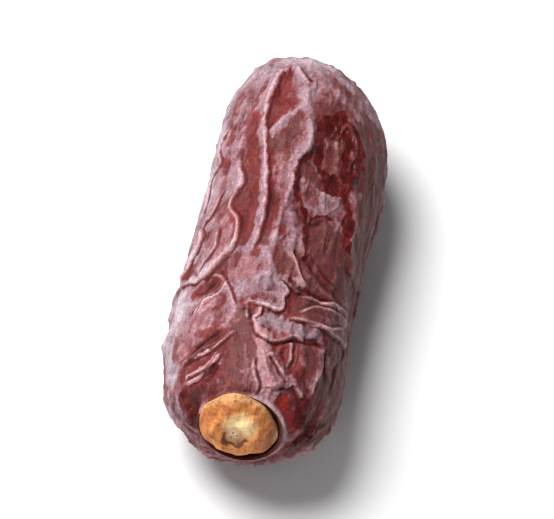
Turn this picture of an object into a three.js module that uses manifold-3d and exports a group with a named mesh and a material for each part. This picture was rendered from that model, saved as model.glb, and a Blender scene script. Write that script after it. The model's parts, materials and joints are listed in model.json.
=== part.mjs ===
// A dried date: the wrinkled fruit, and the woody calyx that sits in its stem end.
//
// Millimetres, +Z up. The date lies on its side on a small flat spot. Its stem end points
// to -Y and its tip to +Y. A place on the skin is given as [y, angle]: how far along the
// fruit it is, and how far round from the top, in degrees, positive towards +X.
import * as THREE from "three";
import { mergeVertices } from "three/addons/utils/BufferGeometryUtils.js";
import Module from "manifold-3d";

// Driving dimensions of the fruit, before its folds
const HALF_LENGTH = 25.5;
const HALF_WIDTH = 9.9;
const HALF_HEIGHT = 9.2;
const TIP_BLUNTNESS = 4.8; // powers of the two rounded ends: a higher one is blunter
const STEM_BLUNTNESS = 7.2;
const WAIST = 0.03; // the middle is narrower by this share
const SIDEWAYS_BOW = 0.35; // the axis wanders this far to each side
const TIP_SKEW = -1.6; // the tip leans this far to -X
const TIP_RISE = 1.1; // and this far up
const AXIS_HEIGHT = 9.3; // the fruit's axis above the surface that it lies on

// The stem end is cut off obliquely, and the calyx sits there in a shallow socket
const RIM_SHARE = 0.5; // the rim's width as a share of the fruit's
const RIM_SHIFT = { x: -0.5, y: 0.4, z: 3.4 }; // from the axis to the rim's middle
const STEM_PITCH = THREE.MathUtils.degToRad(20); // the calyx looks up by this much
const SOCKET_RADIUS = 4.7;
const SOCKET_DEPTH = 1.1;

const CALYX_RADIUS = 4.15;
const CALYX_HEIGHT = 2.75; // from its hidden base to the top of its dome
const CALYX_EDGE = 1.3; // from its base to its brim
const CALYX_BRIM = 0.95; // the brim reaches this much further out, on the upper left
const CALYX_GAP = 0.3; // left under the calyx
const SCAR_RADIUS = 1.75; // where the stalk broke off
const SCAR_DEPTH = 0.5;
const SCAR_SHIFT = new THREE.Vector3(-0.5, -0.3, 0); // from the calyx's middle

// The model's own middle, moved to the origin
const MIDDLE = { x: -0.11, y: -0.6 };

// Steps of the meshes
const FRUIT_AROUND = 90;
const FRUIT_ALONG = 60;
const CALYX_AROUND = 48;
const CALYX_RINGS = 6;

const radians = THREE.MathUtils.degToRad;
const clamp01 = (v) => Math.min(1, Math.max(0, v));
const smooth = (v) => clamp01(v) ** 2 * (3 - 2 * clamp01(v));
const bell = (v) => Math.exp(-v * v);
const turnTo180 = (degrees) => ((((degrees + 180) % 360) + 360) % 360) - 180;

// Seeded numbers from 0 to 1
function randomFrom(seed) {
  let state = seed;
  return () => {
    state = (state * 48271) % 2147483647;
    return state / 2147483647;
  };
}

// A soft wave through space: a sum of a few sines, from about -1 to 1
function waveField(seed, wavelength, count = 5) {
  const random = randomFrom(seed);
  const waves = Array.from({ length: count }, () => {
    const turn = 2 * Math.PI * random();
    const lift = 2 * random() - 1;
    const flat = Math.sqrt(1 - lift * lift);
    const k = (2 * Math.PI * (0.7 + 0.6 * random())) / wavelength;
    return [k * flat * Math.cos(turn), k * flat * Math.sin(turn), k * lift, 2 * Math.PI * random()];
  });
  const sum = (p) =>
    waves.reduce((total, [a, b, c, d]) => total + Math.sin(a * p.x + b * p.y + c * p.z + d), 0);
  return (p) => sum(p) / Math.sqrt(count / 2);
}

// The smooth body that the skin is folded over

// How the two ends round off: the width at y as a share of the widest
function endShare(y) {
  const t = clamp01(Math.abs(y) / HALF_LENGTH);
  return Math.sqrt(1 - t ** (y > 0 ? TIP_BLUNTNESS : STEM_BLUNTNESS));
}

const girth = (y) => endShare(y) * (1 - WAIST * bell((y - 1) / 8));

// How far a cross-section has turned into the oblique stem end, from 0 to 1
const stemTurn = (y) => (y < 0 ? 1 - smooth((endShare(y) - RIM_SHARE) / (1 - RIM_SHARE)) : 0);

// The cross-section isn't quite round: soft flats run along it, and turn as they go
function sectionShape(y, angle) {
  return (
    1 +
    0.014 * Math.cos(2 * angle - 0.7) +
    0.018 * Math.cos(3 * angle + y / 11) +
    0.012 * Math.cos(5 * angle - y / 9 + 1.2)
  );
}

// A point of the smooth body
function bodyPoint(y, degrees) {
  const angle = radians(degrees);
  const turn = stemTurn(y);
  const tip = Math.max(0, y / HALF_LENGTH) ** 8;
  const bow = SIDEWAYS_BOW * Math.sin((Math.PI * y) / HALF_LENGTH);
  const shape = girth(y) * (sectionShape(y, angle) * (1 - turn) + turn);
  const up = HALF_HEIGHT * shape * Math.cos(angle);
  const pitch = STEM_PITCH * turn;
  return new THREE.Vector3(
    bow * (1 - turn) + RIM_SHIFT.x * turn + TIP_SKEW * tip + HALF_WIDTH * shape * Math.sin(angle),
    y + RIM_SHIFT.y * turn + up * Math.sin(pitch),
    RIM_SHIFT.z * turn + TIP_RISE * tip + up * Math.cos(pitch),
  );
}

// The body's outward direction at a place on the skin
function bodyNormal(y, degrees) {
  const step = 0.05;
  const low = Math.max(y - step, -HALF_LENGTH + 0.02);
  const high = Math.min(y + step, HALF_LENGTH - 0.02);
  const along = bodyPoint(high, degrees).sub(bodyPoint(low, degrees));
  const round = bodyPoint(y, degrees + 0.5).sub(bodyPoint(y, degrees - 0.5));
  return round.cross(along).normalize();
}

// Folds that stand up from the skin, each along a path of places. The two widths, in mm, say
// how gently the fold falls away to the left and to the right of its path.
const FOLDS = [
  { name: "spine", height: 1.25, widths: [0.4, 1.2],
    path: [[23, -18], [20.8, -25], [18.9, -27.5], [17.3, -29.5], [15.7, -30.5], [14.2, -29],
      [12.6, -28.5], [10.7, -25.5], [9.4, -24], [6.3, -19.5], [4.1, -17.5], [1.9, -15.5],
      [0.1, -15], [-1.8, -14.5], [-3.6, -16], [-5.6, -19]] },
  { name: "spine, right branch", height: 0.95, widths: [0.6, 0.9],
    path: [[8, -23.5], [10, -24.5], [11.4, -21.5], [12.6, -18.5], [13.6, -14], [14.6, -8],
      [15.6, -4], [17.3, -3], [19.2, -3.5]] },
  { name: "tip fold", height: 0.7, widths: [0.5, 0.6],
    path: [[22.4, -21], [21.3, -13], [20.2, -7.5], [19, -3.5]] },
  { name: "left fold, upper part", height: 1.0, widths: [1.0, 0.55],
    path: [[9.2, -46], [11.5, -43.5], [13.3, -40], [15.2, -34]] },
  { name: "left fold", height: 1.3, widths: [0.4, 1.6],
    path: [[10, -47.5], [7.5, -42.5], [5, -36], [3.6, -38], [2.2, -42], [1.3, -41], [0, -34],
      [-1.9, -30], [-3.7, -30], [-4.8, -33], [-6, -39], [-6.8, -44], [-7.7, -50], [-8.8, -62]] },
  { name: "left fold, side branch", height: 0.95, widths: [0.6, 0.9],
    path: [[1.5, -42], [1.2, -50], [0.2, -58], [-0.5, -68], [-2.5, -74], [-5, -77], [-8, -80]] },
  { name: "short left fold", height: 0.6, widths: [0.4, 1.0],
    path: [[-0.8, -50], [-3, -48], [-5, -56], [-6.8, -61]] },
  { name: "left flank, inner fold", height: 0.8, widths: [0.7, 0.9],
    path: [[18.5, -56], [15.5, -58], [12, -60], [9, -63], [6, -60], [3, -62], [0.5, -70]] },
  { name: "left flank, outer fold", height: 0.75, widths: [0.9, 0.9],
    path: [[21, -74], [16, -80], [11, -78], [6, -82], [1, -86], [-4, -92]] },
  { name: "middle fold", height: 1.15, widths: [0.5, 0.9],
    path: [[15.2, -3], [13.4, 1], [11.6, 4], [9.5, 2.8], [7.6, -1], [5.6, -2], [4.1, -2],
      [1.8, -2.5], [0.1, -3.5], [-1.5, -4.2], [-3.2, -4.5], [-5, -5.5]] },
  { name: "hook", height: 1.0, widths: [0.6, 0.9],
    path: [[-3.3, -6], [-4.7, -6.8], [-5.7, -3], [-6.8, -1.3], [-7.7, -2.5], [-8.2, -7.7],
      [-9, -14]] },
  { name: "tongue", height: 0.9, widths: [0.35, 1.6],
    path: [[-8, 1], [-8.8, 9.5], [-9.6, 11.5], [-10.3, 10], [-11.1, 11], [-11.8, 10], [-12, 4.5],
      [-11.7, -4], [-11.5, -10], [-11.7, -18]] },
  { name: "right shoulder", height: 0.95, widths: [1.6, 0.7],
    path: [[18.5, 22], [15.5, 30], [13.8, 38], [12, 43], [9, 41], [7, 38], [5, 48], [2.4, 50],
      [-0.3, 50], [-2.3, 59], [-4.5, 72]] },
  { name: "pocket's far edge", height: 0.5, widths: [0.7, 0.7],
    path: [[16.5, 2], [17.3, 10], [16.9, 18], [15.2, 25]] },
  { name: "ridge across the pocket", height: 0.5, widths: [0.7, 0.6],
    path: [[5.4, 2], [5.6, 10], [4.6, 18], [4.9, 27], [4.3, 35]] },
  { name: "fan, upper edge", height: 0.7, widths: [0.35, 1.1],
    path: [[-9.2, 34], [-8.2, 46], [-8.3, 53], [-9, 64], [-9.9, 75]] },
  { name: "fan, lower edge", height: 0.8, widths: [0.35, 1.4],
    path: [[-9.6, 75], [-11.3, 73], [-12, 50], [-12, 39], [-12.2, 28], [-12.6, 14]] },
  { name: "band, lower edge", height: 0.85, widths: [1.5, 0.35],
    path: [[-12.6, -8], [-14.2, -4.3], [-15.3, -1.3], [-16, 5], [-15.8, 12], [-15.1, 17.5],
      [-14.6, 22], [-14.9, 30]] },
  { name: "band, right edge", height: 0.65, widths: [0.5, 0.8],
    path: [[-12.2, 45], [-13.9, 46], [-15.5, 42], [-17.5, 44], [-20, 50]] },
  { name: "pillar above the calyx", height: 1.0, widths: [1.3, 1.1],
    path: [[-15.6, 1], [-16.5, 2.5], [-18.5, 5], [-20, 9], [-21.3, 16], [-22.6, 21]] },
  { name: "thin fold beside the pillar", height: 0.45, widths: [0.5, 0.5],
    path: [[-19.6, 3], [-21.2, 1], [-22.8, 2]] },
  { name: "arc right of the pillar", height: 0.65, widths: [0.9, 0.5],
    path: [[-19.3, 25], [-20.1, 30], [-20.6, 36], [-22, 42]] },
  { name: "upper slanting fold", height: 0.8, widths: [0.3, 1.0],
    path: [[-15, -15], [-16.6, -24], [-17.5, -31], [-18, -38], [-18.3, -44], [-18.6, -51],
      [-18.9, -61]] },
  { name: "lower slanting fold", height: 0.8, widths: [0.35, 0.8],
    path: [[-17.9, -25], [-19.4, -30], [-20.1, -37], [-20.5, -46], [-20.9, -60]] },
  { name: "under the lens", height: 0.6, widths: [1.0, 0.4],
    path: [[-8.2, -28], [-9.6, -34], [-10.6, -41], [-11.3, -48], [-12.8, -56]] },
  { name: "left edge", height: 0.7, widths: [1.2, 1.2],
    path: [[-7, -79], [-11, -74], [-14, -70], [-17, -72], [-19.5, -79], [-22, -90]] },
  { name: "right edge, upper fold", height: 0.7, widths: [1.0, 1.2],
    path: [[20, 68], [14, 78], [8, 82], [2, 80], [-4, 78], [-9, 82]] },
  { name: "right edge, lower fold", height: 0.75, widths: [1.0, 1.2],
    path: [[-4, 93], [-10, 88], [-15, 80], [-19, 76], [-22.5, 66]] },
];

// Grooves that are pressed into the skin
const GROOVES = [
  { name: "under the ridge across the pocket", depth: 0.5, width: 0.55,
    path: [[1.2, 8], [0.3, 18], [1.0, 24], [1.9, 31]] },
  { name: "long groove across the right side", depth: 0.65, width: 0.7,
    path: [[1.6, 9], [-1.7, 11], [-3.6, 12.5], [-4.6, 20], [-5.8, 30], [-6.8, 42], [-7.8, 54],
      [-9.5, 72]] },
  { name: "above the fan", depth: 0.65, width: 0.7,
    path: [[-7.6, 2], [-8.5, 12], [-9, 18], [-9.2, 25], [-9.3, 31], [-8.6, 40], [-7.8, 50]] },
  { name: "under the band", depth: 0.6, width: 0.7,
    path: [[-13.6, 20], [-14.3, 29], [-14.4, 40], [-14.5, 48], [-16.5, 51], [-19, 55]] },
  { name: "above the upper slanting fold", depth: 0.6, width: 0.75,
    path: [[-14.9, -20], [-16, -28], [-16.7, -36], [-17.1, -44], [-17.5, -55]] },
  { name: "below the lower slanting fold", depth: 0.6, width: 0.75,
    path: [[-19.6, -24], [-21, -34], [-21.6, -44], [-22, -58]] },
];

// Broad hollows and swellings: how far they reach along (mm) and round (degrees), and how high
const SWELLINGS = [
  { name: "glossy pocket", at: [10.5, 22], reach: [5, 15], height: -0.7 },
  { name: "lower pocket", at: [3, 22], reach: [2.4, 16], height: -0.35 },
  { name: "trough left of the spine", at: [4, -28], reach: [7, 6], height: -0.5 },
  { name: "trough right of the spine", at: [3, -9], reach: [9, 5], height: -0.45 },
  { name: "trough between the branches", at: [17.5, -20], reach: [4, 9], height: -0.45 },
  { name: "lens", at: [-9.2, -45], reach: [1.7, 15], height: -0.65 },
  { name: "beside the pillar", at: [-17.6, 18], reach: [2, 9], height: -0.35 },
  { name: "red hollow by the calyx", at: [-21.4, 31], reach: [1.9, 10], height: -0.6 },
  { name: "upper left shoulder", at: [19.5, -76], reach: [6.5, 38], height: 0.15 },
  { name: "lower left corner", at: [-21.5, -100], reach: [5, 30], height: 0.15 },
  { name: "lower right corner", at: [-17, 97], reach: [8, 42], height: 0.6 },
  { name: "hollow left of the calyx", at: [-24, -80], reach: [0.9, 26], height: -0.8 },
  { name: "belly that it lies on", at: [0.5, 180], reach: [11, 45], height: 0.4 },
  { name: "dent round the tip", at: [25.4, 0], reach: [0.35, 1e6], height: -0.4 },
];

// The points of a path on the body, joined by a smooth curve
function curveOnBody(path) {
  const places = path.map(([y, degrees]) => new THREE.Vector3(y, degrees, 0));
  const curve = new THREE.CatmullRomCurve3(places, false, "catmullrom", 0.5);
  const count = (path.length - 1) * 4;
  return Array.from({ length: count + 1 }, (_, i) => {
    const place = curve.getPoint(i / count);
    return { point: bodyPoint(place.x, place.y), normal: bodyNormal(place.x, place.y) };
  });
}

// Distance from p to a curve, which side of it p is on, and how far along it, from 0 to 1
function distanceTo(curve, p) {
  let best = { distance: Infinity };
  const spans = curve.length - 1;
  for (let i = 0; i < spans; i++) {
    const from = curve[i].point;
    const step = curve[i + 1].point.clone().sub(from);
    const offset = p.clone().sub(from);
    const share = clamp01(offset.dot(step) / step.lengthSq());
    const away = offset.addScaledVector(step, -share);
    const distance = away.length();
    if (distance < best.distance) {
      const onRight = away.dot(step.cross(curve[i].normal)) > 0;
      best = { distance, onRight, along: (i + share) / spans };
    }
  }
  return best;
}

// Both ends of a fold sink away into the skin
const taper = (along) => smooth(along / 0.12) * smooth((1 - along) / 0.12);

// A crest with hollow sides, like skin pinched up between finger and thumb
const CREST = 0.3;
const LEAST_WIDTH = 0.55; // a steeper side would be narrower than the mesh's steps
const pinch = (distance, width) =>
  Math.exp(-(Math.sqrt(distance * distance + CREST * CREST) - CREST) / Math.max(width, LEAST_WIDTH));

const foldCurves = FOLDS.map((fold) => ({ ...fold, curve: curveOnBody(fold.path) }));
const grooveCurves = GROOVES.map((groove) => ({ ...groove, curve: curveOnBody(groove.path) }));

// Takes the higher of several heights with a soft change over, so crossing folds don't pile up
const SHARPNESS = 4;
const higher = (heights) => heights.reduce((sum, h) => sum + h ** SHARPNESS, 0) ** (1 / SHARPNESS);

function foldHeight(p) {
  return higher(
    foldCurves.map(({ curve, height, widths }) => {
      const { distance, onRight, along } = distanceTo(curve, p);
      return height * taper(along) * pinch(distance, widths[onRight ? 1 : 0]);
    }),
  );
}

function grooveDepth(p) {
  return higher(
    grooveCurves.map(({ curve, depth, width }) => {
      const { distance, along } = distanceTo(curve, p);
      return depth * taper(along) * bell(distance / width);
    }),
  );
}

function swellingHeight(y, degrees) {
  return SWELLINGS.reduce((sum, { at, reach, height }) => {
    const round = turnTo180(degrees - at[1]) / reach[1];
    return sum + height * bell((y - at[0]) / reach[0]) * bell(round);
  }, 0);
}

// A net of long ridges covers the rest of the skin: the borders between long cells
const NET = { rings: 9, round: 17, ringStep: 7.4, radius: 9.7, jitter: 0.42, stretch: 2.1 };
const NET_HEIGHT = 1.15;
const NET_WIDTH = 0.7;
const NET_ON_TOP = 0.2; // the share of the net's height that is left among the folds above
const netWarp = [11, 12, 13].map((seed) => waveField(seed, 11));
const netStrength = waveField(21, 13);

const netCentres = (() => {
  const random = randomFrom(4242);
  const centres = [];
  for (let ring = 0; ring < NET.rings; ring++)
    for (let i = 0; i < NET.round; i++) {
      const share = (i + (ring % 2) / 2 + NET.jitter * (2 * random() - 1)) / NET.round;
      const along = ring - (NET.rings - 1) / 2 + NET.jitter * (2 * random() - 1);
      const turn = 2 * Math.PI * share;
      const y = (along * NET.ringStep) / NET.stretch;
      centres.push(new THREE.Vector3(NET.radius * Math.sin(turn), y, NET.radius * Math.cos(turn)));
    }
  return centres;
})();

function netHeight(p) {
  const warped = new THREE.Vector3(
    p.x + 1.4 * netWarp[0](p),
    (p.y + 2.4 * netWarp[1](p)) / NET.stretch,
    p.z + 1.4 * netWarp[2](p),
  );
  let [first, second] = [Infinity, Infinity];
  let [near, next] = [null, null];
  for (const centre of netCentres) {
    const distance = centre.distanceToSquared(warped);
    if (distance < first) {
      [second, next] = [first, near];
      [first, near] = [distance, centre];
    } else if (distance < second) {
      [second, next] = [distance, centre];
    }
  }
  const between = next.clone().sub(near);
  const toBorder = (second - first) / (2 * between.length());
  const crosswise = (between.y / between.length()) ** 2; // 1 where the border runs round the fruit
  const strength = (0.75 + 0.25 * netStrength(p)) * (1 - 0.5 * crosswise);
  return NET_HEIGHT * strength * pinch(toBorder, NET_WIDTH);
}

// The rim of the socket
const rimPlace = HALF_LENGTH * (1 - RIM_SHARE ** 2) ** (1 / STEM_BLUNTNESS);
const rimMiddle = new THREE.Vector3(RIM_SHIFT.x, RIM_SHIFT.y - rimPlace, RIM_SHIFT.z);
const stemOut = new THREE.Vector3(0, -Math.cos(STEM_PITCH), Math.sin(STEM_PITCH));
const stemUp = new THREE.Vector3(0, Math.sin(STEM_PITCH), Math.cos(STEM_PITCH));
const stemRight = new THREE.Vector3(1, 0, 0);

// The rim stands highest on the lower right, and hardly at all on the upper left
const rimLift = (degrees) => 0.12 + 0.62 * (0.5 + 0.5 * Math.cos(radians(degrees - 130)));

// The height of the skin over the smooth body at a place
const RIM_CALM = 1.4; // near the rim, within this many mm, the net fades out
const FOOT_CALM = 0.25; // the share of the relief that is left where the fruit lies
function relief(y, degrees) {
  const p = bodyPoint(y, degrees);
  const fromTop = Math.abs(turnTo180(degrees));
  const top = 1 - smooth((fromTop - 60) / 40);
  const rim = smooth((y + rimPlace) / RIM_CALM);
  const net = netHeight(p) * (1 - top * (1 - NET_ON_TOP)) * (0.4 + 0.6 * rim);
  const foot = smooth((fromTop - 138) / 24) * smooth((24 - Math.abs(y)) / 6);
  const raised = higher([foldHeight(p), net]) - grooveDepth(p);
  return raised * (1 - foot * (1 - FOOT_CALM)) + swellingHeight(y, degrees);
}

// A point of the finished skin. Close to the rim the relief gives way to the rim's lift.
function skinPoint(y, degrees) {
  const nearRim = (1 - smooth((y + rimPlace) / 0.8)) ** 2;
  return bodyPoint(y, degrees)
    .addScaledVector(bodyNormal(y, degrees), relief(y, degrees) * (1 - nearRim))
    .addScaledVector(stemOut, rimLift(degrees) * nearRim);
}

// A point in the socket, at a radius and a height above the rim's plane
function socketPoint(radius, height, degrees) {
  const angle = radians(degrees);
  return rimMiddle
    .clone()
    .addScaledVector(stemOut, height)
    .addScaledVector(stemRight, radius * Math.sin(angle))
    .addScaledVector(stemUp, radius * Math.cos(angle));
}

// Places along the fruit, evenly spaced over its curved profile, and closer near the calyx
function stations(count) {
  const samples = 600;
  const profile = Array.from({ length: samples + 1 }, (_, i) => {
    const y = -rimPlace + ((rimPlace + HALF_LENGTH) * i) / samples;
    return { y, radius: HALF_WIDTH * girth(y) };
  });
  const run = [0];
  for (let i = 1; i <= samples; i++) {
    const [from, to] = [profile[i - 1], profile[i]];
    const weight = 1 + 0.35 * smooth((-5 - to.y) / 8);
    run.push(run[i - 1] + weight * Math.hypot(to.y - from.y, to.radius - from.radius));
  }
  return Array.from({ length: count }, (_, k) => {
    const wanted = (run[samples] * k) / count;
    return profile[run.findIndex((length) => length >= wanted)].y;
  });
}

// Angles round the fruit, closer on the top than underneath
const fruitAngles = Array.from({ length: FRUIT_AROUND }, (_, i) => {
  const share = i / FRUIT_AROUND;
  return 360 * share - 11 * Math.sin(2 * Math.PI * share);
});

// Rings of points from the middle of the socket to the tip
function fruitRings(places) {
  const ring = (pointAt) => fruitAngles.map(pointAt);
  const inner = SOCKET_RADIUS;
  return [
    [socketPoint(0, -SOCKET_DEPTH, 0)],
    ring((degrees) => socketPoint(inner * 0.5, -SOCKET_DEPTH, degrees)),
    ring((degrees) => socketPoint(inner - 0.1, -SOCKET_DEPTH, degrees)),
    ring((degrees) => socketPoint(inner, -SOCKET_DEPTH + 0.4, degrees)),
    ring((degrees) => socketPoint(inner + 0.08, rimLift(degrees) - 0.1, degrees)),
    ...places.map((y) => ring((degrees) => skinPoint(y, degrees))),
    [bodyPoint(HALF_LENGTH, 0)],
  ];
}

// A closed skin over rings of points, of which the first and the last are single points.
// A cell between two rings is split along its diagonal from a to d where splitFromA says so.
function skinOver(rings, splitFromA = () => false) {
  const starts = [];
  let total = 0;
  for (const ring of rings) {
    starts.push(total);
    total += ring.length;
  }
  const faces = [];
  for (let r = 0; r + 1 < rings.length; r++) {
    const count = Math.max(rings[r].length, rings[r + 1].length);
    for (let i = 0; i < count; i++) {
      const corner = (row, column) => starts[row] + (rings[row].length === 1 ? 0 : column % count);
      const [a, b] = [corner(r, i), corner(r, i + 1)];
      const [c, d] = [corner(r + 1, i), corner(r + 1, i + 1)];
      if (a === b) faces.push(a, d, c);
      else if (c === d) faces.push(a, b, c);
      else if (splitFromA(r, i)) faces.push(a, b, d, a, d, c);
      else faces.push(a, b, c, b, d, c);
    }
  }
  const geometry = new THREE.BufferGeometry().setFromPoints(rings.flat());
  geometry.setIndex(faces);
  return geometry;
}

// Each cell of the fruit's skin is split along the diagonal that passes nearer to the true
// skin in the cell's middle, so a slanting fold keeps an unbroken crest
function fruitSkin() {
  const places = stations(FRUIT_ALONG);
  const rings = fruitRings(places);
  const firstRow = rings.length - 1 - places.length;
  const middle = (p, q) => p.clone().add(q).multiplyScalar(0.5);
  return skinOver(rings, (row, i) => {
    const k = row - firstRow;
    if (k < 0 || k + 1 >= places.length) return false;
    const next = (i + 1) % FRUIT_AROUND;
    const degrees = (fruitAngles[i] + (next === 0 ? 360 : fruitAngles[next])) / 2;
    const truth = skinPoint((places[k] + places[k + 1]) / 2, degrees);
    const fromA = middle(rings[row][i], rings[row + 1][next]);
    const fromB = middle(rings[row][next], rings[row + 1][i]);
    return truth.distanceTo(fromA) < truth.distanceTo(fromB);
  });
}

// The calyx: sepals and petals dried together to a woody button with a lobed edge, made
// looking along +Z with its base at the origin
function calyxSkin() {
  const lobes = (angle) => 1 + 0.03 * Math.cos(3 * angle + 0.5) + 0.018 * Math.cos(7 * angle + 2);
  const ring = (radius, height, wave = 0, brim = 0, shifted = 0) =>
    Array.from({ length: CALYX_AROUND }, (_, i) => {
      const angle = (-2 * Math.PI * i) / CALYX_AROUND;
      const upperLeft = Math.max(0, Math.cos(angle + radians(50)));
      const reach = radius * lobes(angle) + brim * upperLeft;
      const lift = wave * (Math.cos(3 * angle + 1.4) + 0.5 * Math.cos(8 * angle));
      const x = reach * Math.sin(angle);
      const y = reach * Math.cos(angle);
      return new THREE.Vector3(x, y, height + lift).addScaledVector(SCAR_SHIFT, shifted);
    });
  const dome = Array.from({ length: CALYX_RINGS }, (_, i) => {
    const share = i / (CALYX_RINGS - 1);
    const radius = CALYX_RADIUS + (SCAR_RADIUS - CALYX_RADIUS) * share;
    const rise = Math.sin((share * Math.PI) / 2) ** 0.85;
    const height = CALYX_EDGE + (CALYX_HEIGHT - CALYX_EDGE) * rise;
    return ring(radius, height, 0.07 * (1 - share), CALYX_BRIM * (1 - share), share);
  });
  return skinOver([
    [new THREE.Vector3(0, 0, 0)],
    ring(CALYX_RADIUS * 0.5, 0),
    ring(CALYX_RADIUS - 0.3, 0),
    ring(CALYX_RADIUS, CALYX_EDGE * 0.35),
    ring(CALYX_RADIUS, CALYX_EDGE * 0.7),
    ...dome,
    ring(SCAR_RADIUS * 0.78, CALYX_HEIGHT - SCAR_DEPTH * 0.65, 0, 0, 1),
    ring(SCAR_RADIUS * 0.52, CALYX_HEIGHT - SCAR_DEPTH, 0, 0, 1),
    ring(SCAR_RADIUS * 0.34, CALYX_HEIGHT - SCAR_DEPTH * 0.6, 0, 0, 1),
    [new THREE.Vector3(0, 0, CALYX_HEIGHT - SCAR_DEPTH * 0.45).add(SCAR_SHIFT)],
  ]);
}

// Solids that can be cut
const wasm = await Module();
wasm.setup();

function solidFrom(geometry) {
  const bare = geometry.clone();
  for (const name of Object.keys(bare.attributes))
    if (name !== "position") bare.deleteAttribute(name);
  const joined = mergeVertices(bare, 1e-4);
  return new wasm.Manifold(
    new wasm.Mesh({
      numProp: 3,
      vertProperties: joined.attributes.position.array,
      triVerts: new Uint32Array(joined.index.array),
    }),
  );
}

function geometryFrom(solid) {
  const mesh = solid.getMesh();
  const geometry = new THREE.BufferGeometry();
  geometry.setAttribute("position", new THREE.BufferAttribute(mesh.vertProperties, 3));
  geometry.setIndex(new THREE.BufferAttribute(mesh.triVerts, 1));
  return geometry;
}

// The fruit, lifted onto the surface, with the flat spot that it lies on cut off its underside
function fruitGeometry() {
  const lifted = fruitSkin().translate(-MIDDLE.x, -MIDDLE.y, AXIS_HEIGHT);
  const below = new THREE.BoxGeometry(80, 80, 20).translate(0, 0, -10);
  return geometryFrom(solidFrom(lifted).subtract(solidFrom(below)));
}

const fruitMaterial = new THREE.MeshStandardMaterial({
  color: new THREE.Color(0.27, 0.1, 0.09),
  roughness: 0.48,
  metalness: 0,
});
const calyxMaterial = new THREE.MeshStandardMaterial({
  color: new THREE.Color(0.68, 0.4, 0.16),
  roughness: 0.7,
  metalness: 0,
});

const fruit = new THREE.Mesh(fruitGeometry(), fruitMaterial);
fruit.name = "fruit";

// The calyx is turned to look out of the socket, and set a little above its floor
const calyx = new THREE.Mesh(calyxSkin(), calyxMaterial);
calyx.name = "calyx";
calyx.position.copy(rimMiddle).addScaledVector(stemOut, CALYX_GAP - SOCKET_DEPTH);
calyx.position.add(new THREE.Vector3(-MIDDLE.x, -MIDDLE.y, AXIS_HEIGHT));
calyx.rotation.x = Math.PI / 2 - STEM_PITCH;

const date = new THREE.Group();
date.add(fruit, calyx);
export default date;
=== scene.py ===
# %% [markdown]
# # A dried date
#
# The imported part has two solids: the wrinkled fruit, and the woody calyx in its stem end. They
# give every size and place. This script keeps both, and adds what solids are too coarse for:
# thin creases, the dull bloom on the raised skin, wet hollows and the grain of the calyx.
#
# The fruit is made from a formula, because its skin is folded over a smooth body. A table of
# folds says where the skin is raised, so the same folds can be drawn with far more points
# here than in the solids, and the colours can follow them.

import json
from math import cos, pi, radians, sin

import bpy
import numpy as np
from mathutils import Matrix, Vector

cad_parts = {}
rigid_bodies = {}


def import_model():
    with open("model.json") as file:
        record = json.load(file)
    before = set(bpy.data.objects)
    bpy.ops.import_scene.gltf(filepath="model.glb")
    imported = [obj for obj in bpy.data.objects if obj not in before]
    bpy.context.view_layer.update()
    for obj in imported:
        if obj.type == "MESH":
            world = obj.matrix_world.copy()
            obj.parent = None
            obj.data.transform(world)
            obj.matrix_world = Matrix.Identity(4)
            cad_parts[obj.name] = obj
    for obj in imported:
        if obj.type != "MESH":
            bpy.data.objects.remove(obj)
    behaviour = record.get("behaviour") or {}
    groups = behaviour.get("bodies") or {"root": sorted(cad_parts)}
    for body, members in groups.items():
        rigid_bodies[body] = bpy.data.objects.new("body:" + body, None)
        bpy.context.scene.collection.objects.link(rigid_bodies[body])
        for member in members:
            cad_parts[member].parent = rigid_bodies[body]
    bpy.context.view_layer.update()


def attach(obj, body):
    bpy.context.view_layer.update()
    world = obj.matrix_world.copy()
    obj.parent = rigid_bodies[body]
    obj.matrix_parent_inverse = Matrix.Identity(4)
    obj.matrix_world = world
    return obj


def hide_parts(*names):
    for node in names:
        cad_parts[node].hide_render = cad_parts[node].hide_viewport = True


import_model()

# %% [markdown]
# ## Small functions
#
# All shapes are worked out in millimetres with numpy, many points at a time, and scaled to
# metres when a mesh is made. A place on the skin is a pair: how far along the fruit it is,
# and the angle round it from the top, positive towards +X.

# %% Curves for blending


def clamp01(values):
    return np.clip(values, 0.0, 1.0)


def smooth(values):
    t = clamp01(values)
    return t * t * (3 - 2 * t)


def bell(values):
    return np.exp(-values * values)


def turn_to_180(degrees):
    return (degrees + 180) % 360 - 180


def length(vectors):
    return np.sqrt((vectors * vectors).sum(-1))


# %% Seeded numbers and soft waves through space


def random_from(seed):
    state = seed
    while True:
        state = state * 48271 % 2147483647
        yield state / 2147483647


def wave_field(seed, wavelength, count=5):
    """A sum of a few sines: a soft wave from about -1 to 1, as a function of points."""
    number = random_from(seed)
    waves = []
    for _ in range(count):
        turn = 2 * pi * next(number)
        lift = 2 * next(number) - 1
        flat = (1 - lift * lift) ** 0.5
        k = 2 * pi * (0.7 + 0.6 * next(number)) / wavelength
        waves.append((k * flat * cos(turn), k * flat * sin(turn), k * lift, 2 * pi * next(number)))

    def field(p):
        total = sum(np.sin(a * p[..., 0] + b * p[..., 1] + c * p[..., 2] + d) for a, b, c, d in waves)
        return total / (count / 2) ** 0.5

    return field


# %% [markdown]
# ## The smooth body
#
# A ripe date starts as a plump, blunt cylinder, and its skin folds as it dries. So the body
# comes first: a long oval with rounded ends, a cross-section that isn't quite round, and an
# oblique cut at the stem end. The sizes are the part's own.

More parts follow.
